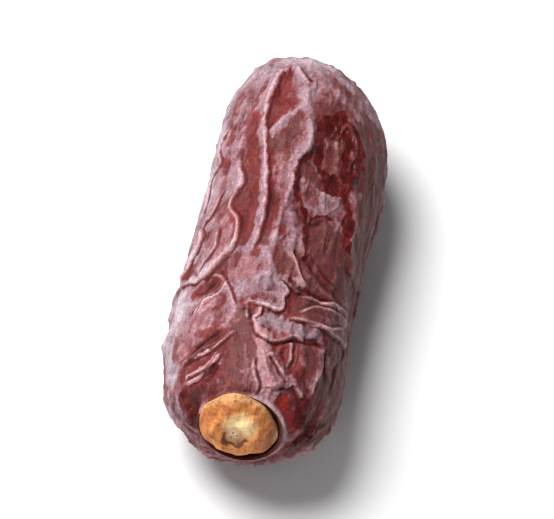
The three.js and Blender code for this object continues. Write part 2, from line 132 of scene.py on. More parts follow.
# %% Sizes of the body
HALF_LENGTH, HALF_WIDTH, HALF_HEIGHT = 25.5, 9.9, 9.2
TIP_BLUNTNESS, STEM_BLUNTNESS = 4.8, 7.2
WAIST, SIDEWAYS_BOW, TIP_SKEW, TIP_RISE = 0.03, 0.35, -1.6, 1.1
AXIS_HEIGHT = 9.3
MIDDLE = np.array([-0.11, -0.6, -AXIS_HEIGHT])
RIM_SHARE = 0.5
RIM_SHIFT = np.array([-0.5, 0.4, 3.4])
STEM_PITCH = radians(20)
SOCKET_RADIUS, SOCKET_DEPTH = 4.7, 1.1


# %% A point of the smooth body, and its outward direction
def end_share(y):
    t = clamp01(np.abs(y) / HALF_LENGTH)
    return np.sqrt(1 - t ** np.where(y > 0, TIP_BLUNTNESS, STEM_BLUNTNESS))


def girth(y):
    return end_share(y) * (1 - WAIST * bell((y - 1) / 8))


def body_point(y, degrees):
    angle = np.radians(degrees)
    turn = np.where(y < 0, 1 - smooth((end_share(y) - RIM_SHARE) / (1 - RIM_SHARE)), 0)
    section = 1 + 0.014 * np.cos(2 * angle - 0.7) + 0.018 * np.cos(3 * angle + y / 11)
    section = section + 0.012 * np.cos(5 * angle - y / 9 + 1.2)
    shape = girth(y) * (section * (1 - turn) + turn)
    tip = np.maximum(0, y / HALF_LENGTH) ** 8
    bow = SIDEWAYS_BOW * np.sin(pi * y / HALF_LENGTH)
    across = HALF_WIDTH * shape * np.sin(angle)
    up = HALF_HEIGHT * shape * np.cos(angle)
    pitch = STEM_PITCH * turn
    x = bow * (1 - turn) + RIM_SHIFT[0] * turn + TIP_SKEW * tip + across
    along = y + RIM_SHIFT[1] * turn + up * np.sin(pitch)
    z = RIM_SHIFT[2] * turn + TIP_RISE * tip + up * np.cos(pitch)
    return np.stack([x, along, z], -1)


def body_normal(y, degrees):
    low = np.maximum(y - 0.05, -HALF_LENGTH + 0.02)
    high = np.minimum(y + 0.05, HALF_LENGTH - 0.02)
    along = body_point(high, degrees) - body_point(low, degrees)
    around = body_point(y, degrees + 0.5) - body_point(y, degrees - 0.5)
    outward = np.cross(around, along)
    return outward / length(outward)[..., None]


print("body:", 2 * HALF_LENGTH, "mm long,", 2 * HALF_WIDTH, "mm wide")

# %% [markdown]
# ## The folds
#
# Each fold is a line of places on the skin, with a height and two widths. The widths say how
# gently the skin falls away on its left and on its right, so one side can be a broad plate
# and the other a steep step. Left and right are those of someone who walks along the line.
# The tables are the part's own. Grooves and hollows are taken away in the same manner.

# %% Folds of the part: name, height, widths, path
FOLDS = [
    ("spine", 1.25, (0.4, 1.2), [(23, -18), (20.8, -25), (18.9, -27.5), (17.3, -29.5), (15.7, -30.5),
     (14.2, -29), (12.6, -28.5), (10.7, -25.5), (9.4, -24), (6.3, -19.5), (4.1, -17.5),
     (1.9, -15.5), (0.1, -15), (-1.8, -14.5), (-3.6, -16), (-5.6, -19)]),
    ("spine, right branch", 0.95, (0.6, 0.9), [(8, -23.5), (10, -24.5), (11.4, -21.5), (12.6, -18.5),
     (13.6, -14), (14.6, -8), (15.6, -4), (17.3, -3), (19.2, -3.5)]),
    ("tip fold", 0.7, (0.5, 0.6), [(22.4, -21), (21.3, -13), (20.2, -7.5), (19, -3.5)]),
    ("left fold, upper part", 1.0, (1.0, 0.55), [(9.2, -46), (11.5, -43.5), (13.3, -40), (15.2, -34)]),
    ("left fold", 1.3, (0.4, 1.6), [(10, -47.5), (7.5, -42.5), (5, -36), (3.6, -38), (2.2, -42),
     (1.3, -41), (0, -34), (-1.9, -30), (-3.7, -30), (-4.8, -33), (-6, -39), (-6.8, -44),
     (-7.7, -50), (-8.8, -62)]),
    ("left fold, side branch", 0.95, (0.6, 0.9), [(1.5, -42), (1.2, -50), (0.2, -58), (-0.5, -68),
     (-2.5, -74), (-5, -77), (-8, -80)]),
    ("short left fold", 0.6, (0.4, 1.0), [(-0.8, -50), (-3, -48), (-5, -56), (-6.8, -61)]),
    ("left flank, inner fold", 0.8, (0.7, 0.9), [(18.5, -56), (15.5, -58), (12, -60), (9, -63),
     (6, -60), (3, -62), (0.5, -70)]),
    ("left flank, outer fold", 0.75, (0.9, 0.9), [(21, -74), (16, -80), (11, -78), (6, -82),
     (1, -86), (-4, -92)]),
    ("middle fold", 1.15, (0.5, 0.9), [(15.2, -3), (13.4, 1), (11.6, 4), (9.5, 2.8), (7.6, -1),
     (5.6, -2), (4.1, -2), (1.8, -2.5), (0.1, -3.5), (-1.5, -4.2), (-3.2, -4.5), (-5, -5.5)]),
    ("hook", 1.0, (0.6, 0.9), [(-3.3, -6), (-4.7, -6.8), (-5.7, -3), (-6.8, -1.3), (-7.7, -2.5),
     (-8.2, -7.7), (-9, -14)]),
    ("tongue", 0.9, (0.35, 1.6), [(-8, 1), (-8.8, 9.5), (-9.6, 11.5), (-10.3, 10), (-11.1, 11),
     (-11.8, 10), (-12, 4.5), (-11.7, -4), (-11.5, -10), (-11.7, -18)]),
    ("right shoulder", 0.95, (1.6, 0.7), [(18.5, 22), (15.5, 30), (13.8, 38), (12, 43), (9, 41),
     (7, 38), (5, 48), (2.4, 50), (-0.3, 50), (-2.3, 59), (-4.5, 72)]),
    ("far edge of the pocket", 0.5, (0.7, 0.7), [(16.5, 2), (17.3, 10), (16.9, 18), (15.2, 25)]),
    ("ridge across the pocket", 0.5, (0.7, 0.6), [(5.4, 2), (5.6, 10), (4.6, 18), (4.9, 27),
     (4.3, 35)]),
    ("fan, upper edge", 0.7, (0.35, 1.1), [(-9.2, 34), (-8.2, 46), (-8.3, 53), (-9, 64),
     (-9.9, 75)]),
    ("fan, lower edge", 0.8, (0.35, 1.4), [(-9.6, 75), (-11.3, 73), (-12, 50), (-12, 39),
     (-12.2, 28), (-12.6, 14)]),
    ("band, lower edge", 0.85, (1.5, 0.35), [(-12.6, -8), (-14.2, -4.3), (-15.3, -1.3), (-16, 5),
     (-15.8, 12), (-15.1, 17.5), (-14.6, 22), (-14.9, 30)]),
    ("band, right edge", 0.65, (0.5, 0.8), [(-12.2, 45), (-13.9, 46), (-15.5, 42), (-17.5, 44),
     (-20, 50)]),
    ("pillar above the calyx", 1.0, (1.3, 1.1), [(-15.6, 1), (-16.5, 2.5), (-18.5, 5), (-20, 9),
     (-21.3, 16), (-22.6, 21)]),
    ("thin fold beside the pillar", 0.45, (0.5, 0.5), [(-19.6, 3), (-21.2, 1), (-22.8, 2)]),
    ("arc right of the pillar", 0.65, (0.9, 0.5), [(-19.3, 25), (-20.1, 30), (-20.6, 36),
     (-22, 42)]),
    ("upper slanting fold", 0.8, (0.3, 1.0), [(-15, -15), (-16.6, -24), (-17.5, -31), (-18, -38),
     (-18.3, -44), (-18.6, -51), (-18.9, -61)]),
    ("lower slanting fold", 0.8, (0.35, 0.8), [(-17.9, -25), (-19.4, -30), (-20.1, -37),
     (-20.5, -46), (-20.9, -60)]),
    ("under the lens", 0.6, (1.0, 0.4), [(-8.2, -28), (-9.6, -34), (-10.6, -41), (-11.3, -48),
     (-12.8, -56)]),
    ("left edge", 0.7, (1.2, 1.2), [(-7, -79), (-11, -74), (-14, -70), (-17, -72), (-19.5, -79),
     (-22, -90)]),
    ("right edge, upper fold", 0.7, (1.0, 1.2), [(20, 68), (14, 78), (8, 82), (2, 80), (-4, 78),
     (-9, 82)]),
    ("right edge, lower fold", 0.75, (1.0, 1.2), [(-4, 93), (-10, 88), (-15, 80), (-19, 76),
     (-22.5, 66)]),
]

# %% Grooves of the part: name, depth, width, path
GROOVES = [
    ("under the ridge across the pocket", 0.5, 0.55, [(1.2, 8), (0.3, 18), (1.0, 24), (1.9, 31)]),
    ("long groove across the right side", 0.65, 0.7, [(1.6, 9), (-1.7, 11), (-3.6, 12.5),
     (-4.6, 20), (-5.8, 30), (-6.8, 42), (-7.8, 54), (-9.5, 72)]),
    ("above the fan", 0.65, 0.7, [(-7.6, 2), (-8.5, 12), (-9, 18), (-9.2, 25), (-9.3, 31),
     (-8.6, 40), (-7.8, 50)]),
    ("under the band", 0.6, 0.7, [(-13.6, 20), (-14.3, 29), (-14.4, 40), (-14.5, 48),
     (-16.5, 51), (-19, 55)]),
    ("above the upper slanting fold", 0.6, 0.75, [(-14.9, -20), (-16, -28), (-16.7, -36),
     (-17.1, -44), (-17.5, -55)]),
    ("below the lower slanting fold", 0.6, 0.75, [(-19.6, -24), (-21, -34), (-21.6, -44),
     (-22, -58)]),
]

# %% Hollows and swellings of the part: name, place, reach along and round, height
SWELLINGS = [
    ("glossy pocket", (10.5, 22), (5, 15), -0.7),
    ("lower pocket", (3, 22), (2.4, 16), -0.35),
    ("trough left of the spine", (4, -28), (7, 6), -0.5),
    ("trough right of the spine", (3, -9), (9, 5), -0.45),
    ("trough between the branches", (17.5, -20), (4, 9), -0.45),
    ("lens", (-9.2, -45), (1.7, 15), -0.65),
    ("beside the pillar", (-17.6, 18), (2, 9), -0.35),
    ("red hollow by the calyx", (-21.4, 31), (1.9, 10), -0.6),
    ("upper left shoulder", (19.5, -76), (6.5, 38), 0.15),
    ("lower left corner", (-21.5, -100), (5, 30), 0.15),
    ("lower right corner", (-17, 97), (8, 42), 0.6),
    ("hollow left of the calyx", (-24, -80), (0.9, 26), -0.8),
    ("belly that it lies on", (0.5, 180), (11, 45), 0.4),
    ("dent round the tip", (25.4, 0), (0.35, 1e6), -0.4),
]
print(len(FOLDS), "folds,", len(GROOVES), "grooves,", len(SWELLINGS), "hollows and swellings")


# %% A smooth curve through the places of a path
def smooth_path(path, steps=4):
    """Points between the places, on a Catmull-Rom curve."""
    places = np.array(path, float)
    before = 2 * places[0] - places[1]
    after = 2 * places[-1] - places[-2]
    ends = np.vstack([before, places, after])
    t = np.arange((len(places) - 1) * steps + 1) / steps
    i = np.minimum(t.astype(int), len(places) - 2)
    w = (t - i)[:, None]
    p0, p1, p2, p3 = ends[i], ends[i + 1], ends[i + 2], ends[i + 3]
    pull, push = (p2 - p0) / 2, (p3 - p1) / 2
    curve = p1 + w * pull + w**2 * (3 * (p2 - p1) - 2 * pull - push)
    curve = curve + w**3 * (2 * (p1 - p2) + pull + push)
    return curve[:, 0], curve[:, 1]


def distance_to(path, points, reach):
    """Distance of the points within reach to a path, which side they are on, and how far along."""
    y, degrees = smooth_path(path)
    line, outward = body_point(y, degrees), body_normal(y, degrees)
    low, high = line.min(0) - reach, line.max(0) + reach
    near = np.flatnonzero(((points > low) & (points < high)).all(-1))
    p = points[near]
    best = np.full(len(near), 1e9)
    side = np.zeros(len(near))
    along = np.zeros(len(near))
    spans = len(line) - 1
    for i in range(spans):
        step = line[i + 1] - line[i]
        offset = p - line[i]
        share = clamp01(offset @ step / (step @ step))
        away = offset - share[:, None] * step
        distance = length(away)
        closer = distance < best
        best[closer] = distance[closer]
        side[closer] = away[closer] @ np.cross(step, outward[i])
        along[closer] = (i + share[closer]) / spans
    return near, best, side > 0, along


# %% How a fold rises: a crest with hollow sides, like skin pinched up
CREST = 0.07


def taper(along, part=0.12):
    return smooth(along / part) * smooth((1 - along) / part)


def pinch(distance, width):
    """A broad skirt, and on it a crest as thin as the edge of a crease in paper."""
    blunted = np.sqrt(distance * distance + CREST * CREST) - CREST
    return 0.9 * np.exp(-((blunted / (1.35 * width)) ** 1.05)) + 0.1 * np.exp(-blunted / 0.2)


SHARPNESS = 4  # crossing folds don't pile up: the higher one wins, with a soft change over


def fold_height(points, folds, reach=7.0):
    total = np.zeros(len(points))
    for _, height, widths, path in folds:
        near, distance, on_right, along = distance_to(path, points, reach)
        width = np.where(on_right, widths[1], widths[0])
        total[near] += (height * taper(along) * pinch(distance, width)) ** SHARPNESS
    return total ** (1 / SHARPNESS)


def groove_depth(points, grooves, share):
    """Share narrows the grooves: the solids' triangles need wider ones than a fine mesh."""
    total = np.zeros(len(points))
    for _, depth, width, path in grooves:
        width = width * share
        near, distance, _, along = distance_to(path, points, 4 * width)
        total[near] += (depth * taper(along, 0.3) * bell(distance / width)) ** SHARPNESS
    return total ** (1 / SHARPNESS)


STEEPEST, LOWEST = 0.45, 0.38  # a fold with a wider side or a lower crest has no plate edge
EDGE_WIDTH, SEAM_WIDTH = 0.1, 0.15


def plate_lines(points, folds):
    """Lines of the steep folds: one on the crest, and one at the foot, where the plate ends."""
    edge, seam_and_crease_shade = np.zeros(len(points)), np.zeros(len(points))
    for _, height, widths, path in folds:
        steep = min(widths)
        if steep > STEEPEST or height < LOWEST:
            continue
        near, distance, on_right, along = distance_to(path, points, 1.5)
        on_steep = on_right == (widths[1] < widths[0])
        foot = np.where(on_steep, bell((distance - 0.12 - 0.7 * steep) / SEAM_WIDTH), 0)
        edge[near] = np.maximum(edge[near], taper(along) * bell(distance / EDGE_WIDTH))
        seam_and_crease_shade[near] = np.maximum(seam_and_crease_shade[near], taper(along) * foot)
    return edge, seam_and_crease_shade


def swelling_height(y, degrees, swellings):
    total = 0
    for _, at, reach, height in swellings:
        around = turn_to_180(degrees - at[1]) / reach[1]
        total = total + height * bell((y - at[0]) / reach[0]) * bell(around)
    return total


# %% [markdown]
# Between and below the drawn folds the skin has a net of long ridges. It is a Voronoi
# pattern: centres are strewn over the body, and the ridges run where two centres are equally
# near. Stretching it along the fruit gives long cells, and a soft wave bends the borders.

# %% The net of ridges over the rest of the skin
NET_RINGS, NET_ROUND, NET_STEP, NET_RADIUS, NET_JITTER, NET_STRETCH = 9, 17, 7.4, 9.7, 0.42, 2.1
NET_HEIGHT, NET_WIDTH, NET_ON_TOP = 1.15, 0.7, 0.2
net_warp = [wave_field(seed, 11) for seed in (11, 12, 13)]
net_strength = wave_field(21, 13)


def net_centres():
    number = random_from(4242)
    centres = []
    for ring in range(NET_RINGS):
        for i in range(NET_ROUND):
            share = (i + (ring % 2) / 2 + NET_JITTER * (2 * next(number) - 1)) / NET_ROUND
            along = ring - (NET_RINGS - 1) / 2 + NET_JITTER * (2 * next(number) - 1)
            turn = 2 * pi * share
            y = along * NET_STEP / NET_STRETCH
            centres.append((NET_RADIUS * sin(turn), y, NET_RADIUS * cos(turn)))
    return np.array(centres)


def two_nearest(points, centres):
    """Squared distances to the two nearest centres, and those centres, in slices."""
    first, second = np.zeros(len(points)), np.zeros(len(points))
    near, following = np.zeros_like(points), np.zeros_like(points)
    for start in range(0, len(points), 8000):
        part = slice(start, start + 8000)
        offset = points[part, None, :] - centres
        squared = (offset * offset).sum(-1)
        order = np.argpartition(squared, 1, axis=1)[:, :2]
        pair = np.take_along_axis(squared, order, 1)
        flip = pair[:, 0] > pair[:, 1]
        order[flip] = order[flip][:, ::-1]
        pair[flip] = pair[flip][:, ::-1]
        first[part], second[part] = pair[:, 0], pair[:, 1]
        near[part], following[part] = centres[order[:, 0]], centres[order[:, 1]]
    return first, second, near, following


def net_height(points):
    waves = [reach * wave(points) for reach, wave in zip((1.4, 2.4, 1.4), net_warp)]
    warp = np.stack(waves, -1)
    warped = (points + warp) / np.array([1, NET_STRETCH, 1])
    first, second, near, following = two_nearest(warped, net_centres())
    between = following - near
    to_border = (second - first) / (2 * length(between))
    crosswise = (between[:, 1] / length(between)) ** 2
    strength = (0.75 + 0.25 * net_strength(points)) * (1 - 0.5 * crosswise)
    return NET_HEIGHT * strength * pinch(to_border, NET_WIDTH)


# %% The rim of the socket
rim_place = HALF_LENGTH * (1 - RIM_SHARE**2) ** (1 / STEM_BLUNTNESS)
rim_middle = np.array([RIM_SHIFT[0], RIM_SHIFT[1] - rim_place, RIM_SHIFT[2]])
stem_out = np.array([0, -cos(STEM_PITCH), sin(STEM_PITCH)])
stem_up = np.array([0, sin(STEM_PITCH), cos(STEM_PITCH)])
stem_right = np.array([1.0, 0, 0])


def rim_lift(degrees):
    return 0.12 + 0.62 * (0.5 + 0.5 * np.cos(np.radians(degrees - 130)))


def socket_point(radius, height, degrees):
    angle = np.radians(degrees)[..., None]
    return rim_middle + stem_out * np.asarray(height)[..., None] + radius * (
        stem_right * np.sin(angle) + stem_up * np.cos(angle))


print("rim of the socket at", (rim_middle - MIDDLE).round(2), "mm")

# %% [markdown]
# ## Finer creases and cracks
#
# The solids stop at folds of about a millimetre. A dried skin also has thin raised creases,
# and cracks where one stiff plate slides under the next. They follow the same kind of path,
# so they need only two more tables, with smaller heights and widths.

# %% Thin creases and cracks: name, height or depth, widths, path
CREASES = [
    ("left flank, long crease", 0.42, (0.35, 0.5), [(13.6, -58), (12.6, -65), (11, -70),
     (8.5, -63), (7.9, -74), (5.9, -77), (3.9, -78), (2.2, -80)]),
    ("left flank, lower crease", 0.4, (0.35, 0.5), [(4.7, -55), (2.9, -58), (1.6, -63), (1, -70),
     (-1.1, -68), (-2.8, -72)]),
    ("left flank, slanting crease", 0.35, (0.3, 0.4), [(0.7, -40), (-0.5, -48), (-2.3, -48),
     (-2.6, -56)]),
    ("beside the left fold", 0.32, (0.26, 0.36), [(1.8, -40), (-0.2, -33), (-1.8, -29),
     (-3.5, -28), (-4.6, -30)]),
    ("left shoulder, crease", 0.32, (0.3, 0.4), [(19.1, -42), (17.6, -46), (16.2, -50),
     (14.5, -53), (12.9, -56), (11.3, -56)]),
    ("left shoulder, second crease", 0.3, (0.3, 0.4), [(17.9, -31), (16.4, -34), (14.5, -36),
     (13, -42), (11.5, -43)]),
    ("tip, thin crease", 0.4, (0.3, 0.3), [(21.5, -14), (19.7, -8), (18.9, -2)]),
    ("tip, right crease", 0.25, (0.4, 0.4), [(22.7, -6), (23.2, 12), (22.3, 24), (20.7, 33),
     (19.8, 44)]),
    ("tip, inner right crease", 0.2, (0.4, 0.4), [(19.4, 2), (19.4, 14), (18.2, 24), (17.3, 34),
     (15.9, 44)]),
    ("below the tip", 0.32, (0.26, 0.36), [(17.9, -8), (15.7, -4), (14.8, 2), (13.6, 4)]),
    ("island in the pocket", 0.75, (1.0, 1.0), [(12.4, 23), (10.6, 26), (8.6, 27), (7.4, 25)]),
    ("narrow plate", 0.6, (0.7, 0.75), [(1.2, 1.5), (-0.3, 4.5), (-1.9, 7.5), (-4, 12)]),
    ("right of the island", 0.45, (0.4, 0.5), [(15, 26), (13.9, 34), (12.3, 38), (10.1, 36),
     (8.3, 36)]),
    ("pocket, left wall", 0.35, (0.35, 0.45), [(13.5, 12), (11.6, 12), (9.8, 13), (8.2, 16)]),
    ("plate, thin crease", 0.3, (0.3, 0.5), [(10.9, -4), (9.2, -9), (7.3, -10), (5.1, -12),
     (3, -10)]),
    ("between the folds", 0.25, (0.3, 0.3), [(10.6, -22), (8.2, -20), (5.7, -16), (3.3, -15)]),
    ("right flank, line 1", 0.32, (0.26, 0.36), [(17.3, 48), (15.6, 56), (13.5, 60), (10.9, 60),
     (8.8, 64), (6.9, 74)]),
    ("right flank, line 2", 0.32, (0.26, 0.36), [(13.3, 40), (11.5, 45), (9.5, 50), (7.1, 53),
     (5, 58), (2.9, 63)]),
    ("right flank, line 3", 0.32, (0.26, 0.36), [(7.6, 39), (6.2, 44), (4.2, 48), (2.1, 48),
     (0.3, 51)]),
    ("lower pocket, right crease", 0.32, (0.26, 0.36), [(4.5, 28), (4.4, 36), (3.5, 40)]),
    ("low left edge", 0.5, (0.4, 0.6), [(-2, -68), (-3.5, -72), (-5, -75), (-6.4, -80)]),
    ("low left, inner crease", 0.55, (0.3, 0.6), [(-4.9, -31), (-5.8, -36), (-6.7, -42),
     (-7.5, -50), (-7.3, -68), (-6.4, -91)]),
    ("round the lens", 0.4, (0.3, 0.45), [(-7.6, -44), (-7.8, -36), (-9.4, -29), (-10.9, -24),
     (-12.3, -20)]),
    ("under the lens, crease", 0.4, (0.45, 0.3), [(-9.3, -32), (-10.3, -35), (-10.8, -42),
     (-11.6, -46), (-12.6, -48)]),
    ("left plate, arc", 0.2, (0.3, 0.4), [(-12.6, -43), (-13.2, -47), (-14, -50),
     (-15.5, -53)]),
    ("left plate, long crease", 0.3, (0.35, 0.45), [(-9.9, -68), (-12.2, -67), (-14.7, -62),
     (-16.6, -65), (-18.2, -66)]),
    ("middle, small crease", 0.32, (0.26, 0.36), [(-12.2, -17), (-11.6, -13), (-11.7, -8),
     (-10.9, -4)]),
    ("middle, short crease", 0.32, (0.26, 0.36), [(-11.6, -10), (-12.6, -10), (-13.8, -12),
     (-14.1, -20)]),
    ("middle plate, crease", 0.32, (0.26, 0.36), [(-12.6, -2), (-12, 3), (-11.9, 6)]),
    ("piece under the tongue", 0.4, (0.3, 0.6), [(-11.4, -13), (-12.6, -12), (-13.6, -10)]),
    ("second piece under the tongue", 0.4, (0.3, 0.6), [(-11.9, -3), (-13, -3), (-13.6, -6)]),
    ("plate on the right, edge", 0.42, (0.35, 0.8), [(-3.4, 9), (-4.9, 12), (-6.6, 17), (-8, 24)]),
    ("lower right plate, edge", 0.42, (0.35, 0.8), [(-14.6, 49), (-16.5, 46), (-18.6, 44),
     (-20.6, 47)]),
    ("right of the pillar, edge", 0.4, (0.35, 0.7), [(-15.4, 20), (-17, 22), (-18.8, 21)]),
    ("fan, ray 1", 0.38, (0.22, 0.4), [(-9.3, 19), (-9.1, 26), (-8.8, 38), (-8.1, 46)]),
    ("fan, ray 2", 0.38, (0.22, 0.34), [(-11.6, 21), (-10, 32), (-9.3, 43), (-8.8, 58)]),
    ("fan, ray 3", 0.26, (0.22, 0.34), [(-12.3, 20), (-11.4, 30), (-10.9, 40), (-10, 56)]),
    ("fan, end", 0.45, (0.3, 0.4), [(-8.1, 46), (-7.6, 60), (-8.2, 66), (-9.9, 62)]),
    ("fan, lower rim", 0.4, (0.25, 0.4), [(-12.6, 27), (-12.3, 36), (-11.4, 49), (-9.9, 62)]),
    ("band, crease", 0.32, (0.26, 0.36), [(-14.3, -4), (-15.2, 1), (-16.3, 6)]),
    ("band, second crease", 0.32, (0.26, 0.36), [(-14.1, 12), (-14.7, 17), (-15, 20)]),
    ("band, wavy crease", 0.32, (0.26, 0.36), [(-14.4, 5), (-13.4, 12), (-13.2, 20), (-13.2, 28)]),
    ("right of the band, line 1", 0.32, (0.26, 0.36), [(-15.3, 34), (-16.4, 38), (-17.9, 42)]),
    ("right of the band, line 2", 0.32, (0.26, 0.36), [(-15.2, 26), (-16.7, 32), (-18.5, 33),
     (-20.4, 34)]),
    ("left of the pillar", 0.4, (0.3, 0.6), [(-18.2, -2), (-20.2, 0), (-23.1, 5), (-24.4, 9)]),
    ("pillar, right crease", 0.4, (0.5, 0.25), [(-17.5, 8), (-18.4, 14), (-19.6, 20),
     (-20.7, 26)]),
    ("hood over the red hollow", 0.5, (0.4, 0.3), [(-21.6, 26), (-20.5, 30), (-21, 36),
     (-22.2, 46)]),
    ("pink plate, crest", 0.5, (0.22, 0.9), [(-21.7, -61), (-21.4, -50), (-20.5, -36),
     (-19.4, -30), (-18.5, -27)]),
    ("brown centre, line 1", 0.32, (0.26, 0.36), [(-14.9, -18), (-17, -16), (-19, -14),
     (-21.7, -14), (-24.1, -21)]),
    ("brown centre, line 2", 0.32, (0.26, 0.36), [(-16, -10), (-17.9, -8), (-20.2, -5),
     (-23.8, -4), (-24.4, -8)]),
    ("brown centre, line 3", 0.32, (0.26, 0.36), [(-17.2, -22), (-19.1, -22), (-21.3, -24),
     (-24, -30)]),
    ("right of the red hollow", 0.32, (0.26, 0.36), [(-21.6, 42), (-22.5, 58), (-23.5, 74),
     (-23.8, 93)]),
    ("low right, scratch 1", 0.2, (0.2, 0.2), [(-21.9, 66), (-21.1, 69), (-19.6, 83)]),
    ("low right, scratch 2", 0.2, (0.2, 0.2), [(-22, 71), (-21.1, 74), (-18.8, 94)]),
    ("low right, crease", 0.32, (0.26, 0.36), [(-18.5, 67), (-20.5, 66), (-22, 72), (-22.9, 88)]),
]

CRACKS = [
    ("crack over the fan", 0.5, 0.22, [(-7.5, 9), (-8.4, 18), (-8.5, 26), (-8.4, 35), (-7.9, 46)]),
    ("crack on the right side", 0.4, 0.2, [(-3.2, 16), (-4.4, 26), (-5.3, 34), (-6.1, 44),
     (-6.4, 56)]),
    ("crack below the band", 0.45, 0.22, [(-16.7, 6), (-16.1, 14), (-15.2, 23), (-14.7, 36),
     (-14, 45)]),
    ("crack at the band's end", 0.45, 0.2, [(-12.3, 42), (-13.2, 44), (-14.1, 46)]),
    ("long crack, low right", 0.5, 0.26, [(-11.7, 69), (-12.5, 74), (-15, 63), (-17, 64),
     (-19.6, 65)]),
    ("crack on the right flank", 0.4, 0.24, [(-2.2, 48), (-3.1, 58), (-3.5, 72), (-5.6, 72)]),
    ("crack above the pink plate", 0.55, 0.24, [(-18.7, -50), (-17, -46), (-16.1, -34),
     (-15, -24)]),
    ("crack under the lens", 0.4, 0.24, [(-9, -63), (-9.6, -53), (-8.8, -46), (-8.2, -37)]),
    ("crack left of the tongue", 0.4, 0.24, [(-13.2, -16), (-12.3, -13), (-13.2, -8),
     (-13.8, -12)]),
]
print(len(CREASES), "thin creases,", len(CRACKS), "cracks")

# %% [markdown]
# ## The fruit's skin
#
# A grid of points is laid round the body, ring by ring from the calyx to the tip, and every
# point is moved outwards by the height of the skin there. The grid is closer on the upper
# side, where the drawn folds are. The underside is cut flat where the fruit lies.
#
# The folds are added at less than their full height, because thin creases and steep plate
# edges, which the solids can't carry, give the rest. Where a broad plate ends in a steep step,
# its crest is worn pale and carries a painted highlight, and its foot is a thin red seam that
# also carries painted shade, so both lines are worked out too.
#
# The parts of the sum are also kept as attributes on the points: how far a point stands above
# its surroundings, and whether it is in a crack. The socket's points are marked as low and
# cracked, which paints shade into the socket. The material colours the skin by them, and adds
# painted shade where the skin lies low.

# %% The grid of places
SKIN_ROUND, SKIN_ALONG = 290, 326


def stations(count):
    """Places along the fruit, evenly spaced over its curved profile, closer near the calyx."""
    y = np.linspace(-rim_place, HALF_LENGTH, 4001)
    radius = HALF_WIDTH * girth(y)
    step = np.hypot(np.diff(y), np.diff(radius)) * (1 + 0.35 * smooth((-5 - y[1:]) / 8))
    run = np.concatenate([[0], np.cumsum(step)])
    return np.interp(run[-1] * np.arange(count) / count, run, y)


share = np.arange(SKIN_ROUND) / SKIN_ROUND
skin_angles = 360 * share - 22 * np.sin(2 * pi * share)
skin_places = stations(SKIN_ALONG)
grid_y, grid_degrees = [g.ravel() for g in np.meshgrid(skin_places, skin_angles, indexing="ij")]
smooth_points = body_point(grid_y, grid_degrees)
smooth_normals = body_normal(grid_y, grid_degrees)
print(len(grid_y), "points on the skin")

# %% How high the skin stands at every place
FOOT_CALM, RIM_CALM = 0.25, 0.9
FOLD_SHARE, CREASE_SHARE, GROOVE_SHARE, CRACK_SHARE = 0.62, 0.5, 0.6, 0.35
GROOVE_WIDTH, CRACK_WIDTH = 0.6, 0.8
CRUMPLE_HEIGHT, SEAM_DEPTH = 0.13, 0.14
from_rim = np.where(grid_y < 0, (end_share(grid_y) - RIM_SHARE) * HALF_WIDTH, 9.9)
# the creases wander a little, as a real skin's do, within the surface
wander = np.stack([wave_field(seed, 3.4)(smooth_points) for seed in (41, 42, 43)], -1) * 0.07
wander = wander - (wander * smooth_normals).sum(-1)[:, None] * smooth_normals
wandering = smooth_points + wander

from_top = np.abs(turn_to_180(grid_degrees))
on_top = 1 - smooth((from_top - 60) / 40)
past_rim = smooth(from_rim / RIM_CALM)
foot = smooth((from_top - 138) / 24) * smooth((24 - np.abs(grid_y)) / 6)

folds = FOLD_SHARE * fold_height(wandering, FOLDS)
net = net_height(smooth_points) * (1 - on_top * (1 - NET_ON_TOP)) * (0.4 + 0.6 * past_rim)
coarse = (folds**SHARPNESS + net**SHARPNESS) ** (1 / SHARPNESS)
creases = fold_height(wandering, CREASES, 2.5) * past_rim
grooves = groove_depth(wandering, GROOVES, GROOVE_WIDTH)
cracks = groove_depth(wandering, CRACKS, CRACK_WIDTH) * past_rim
edges, seams = [line * past_rim for line in plate_lines(wandering, FOLDS + CREASES)]
lip = 1.3 * bell((from_rim - 0.12) / 0.15) * smooth(np.cos(np.radians(grid_degrees - 105)) + 0.7)
edges = np.maximum(edges, lip)
crumple = 1 - np.abs(wave_field(61, 4.6)(wandering * [1, 0.6, 1])) * 1.4
crumple = crumple + 0.5 * (1 - np.abs(wave_field(62, 2.1)(wandering * [1, 0.7, 1])) * 1.4)
crumple = CRUMPLE_HEIGHT * (1 - 0.55 * on_top) * np.maximum(crumple, -0.6) * past_rim
relief = coarse + crumple - GROOVE_SHARE * grooves + CREASE_SHARE * creases
relief = relief - CRACK_SHARE * cracks - SEAM_DEPTH * seams
relief = relief * (1 - foot * (1 - FOOT_CALM)) + swelling_height(grid_y, grid_degrees, SWELLINGS)
print("relief from", relief.min().round(2), "to", relief.max().round(2), "mm")

# %% The skin's points: near the rim the relief gives way to the rim's lift
near_rim = (1 - smooth(from_rim / 0.8)) ** 2
lifted = rim_lift(grid_degrees) * near_rim + 0.2 * bell((from_rim - 0.1) / 0.14)
skin = smooth_points + smooth_normals * (relief * (1 - near_rim))[:, None]
skin = skin + stem_out * lifted[:, None]

# the socket's rings, from its floor to the lip: how far in from its wall, and how high
bottom, lift = np.full(SKIN_ROUND, -SOCKET_DEPTH), rim_lift(skin_angles)
socket_rings = [socket_point(SOCKET_RADIUS - inset, height, skin_angles) for inset, height in (
    (SOCKET_RADIUS / 2, bottom), (0.1, bottom), (0, bottom + 0.4), (0.15, lift - 0.55),
    (0.3, lift - 0.2), (0.25, lift + 0.02), (0.02, lift + 0.08))]
TO_METRES = 0.001


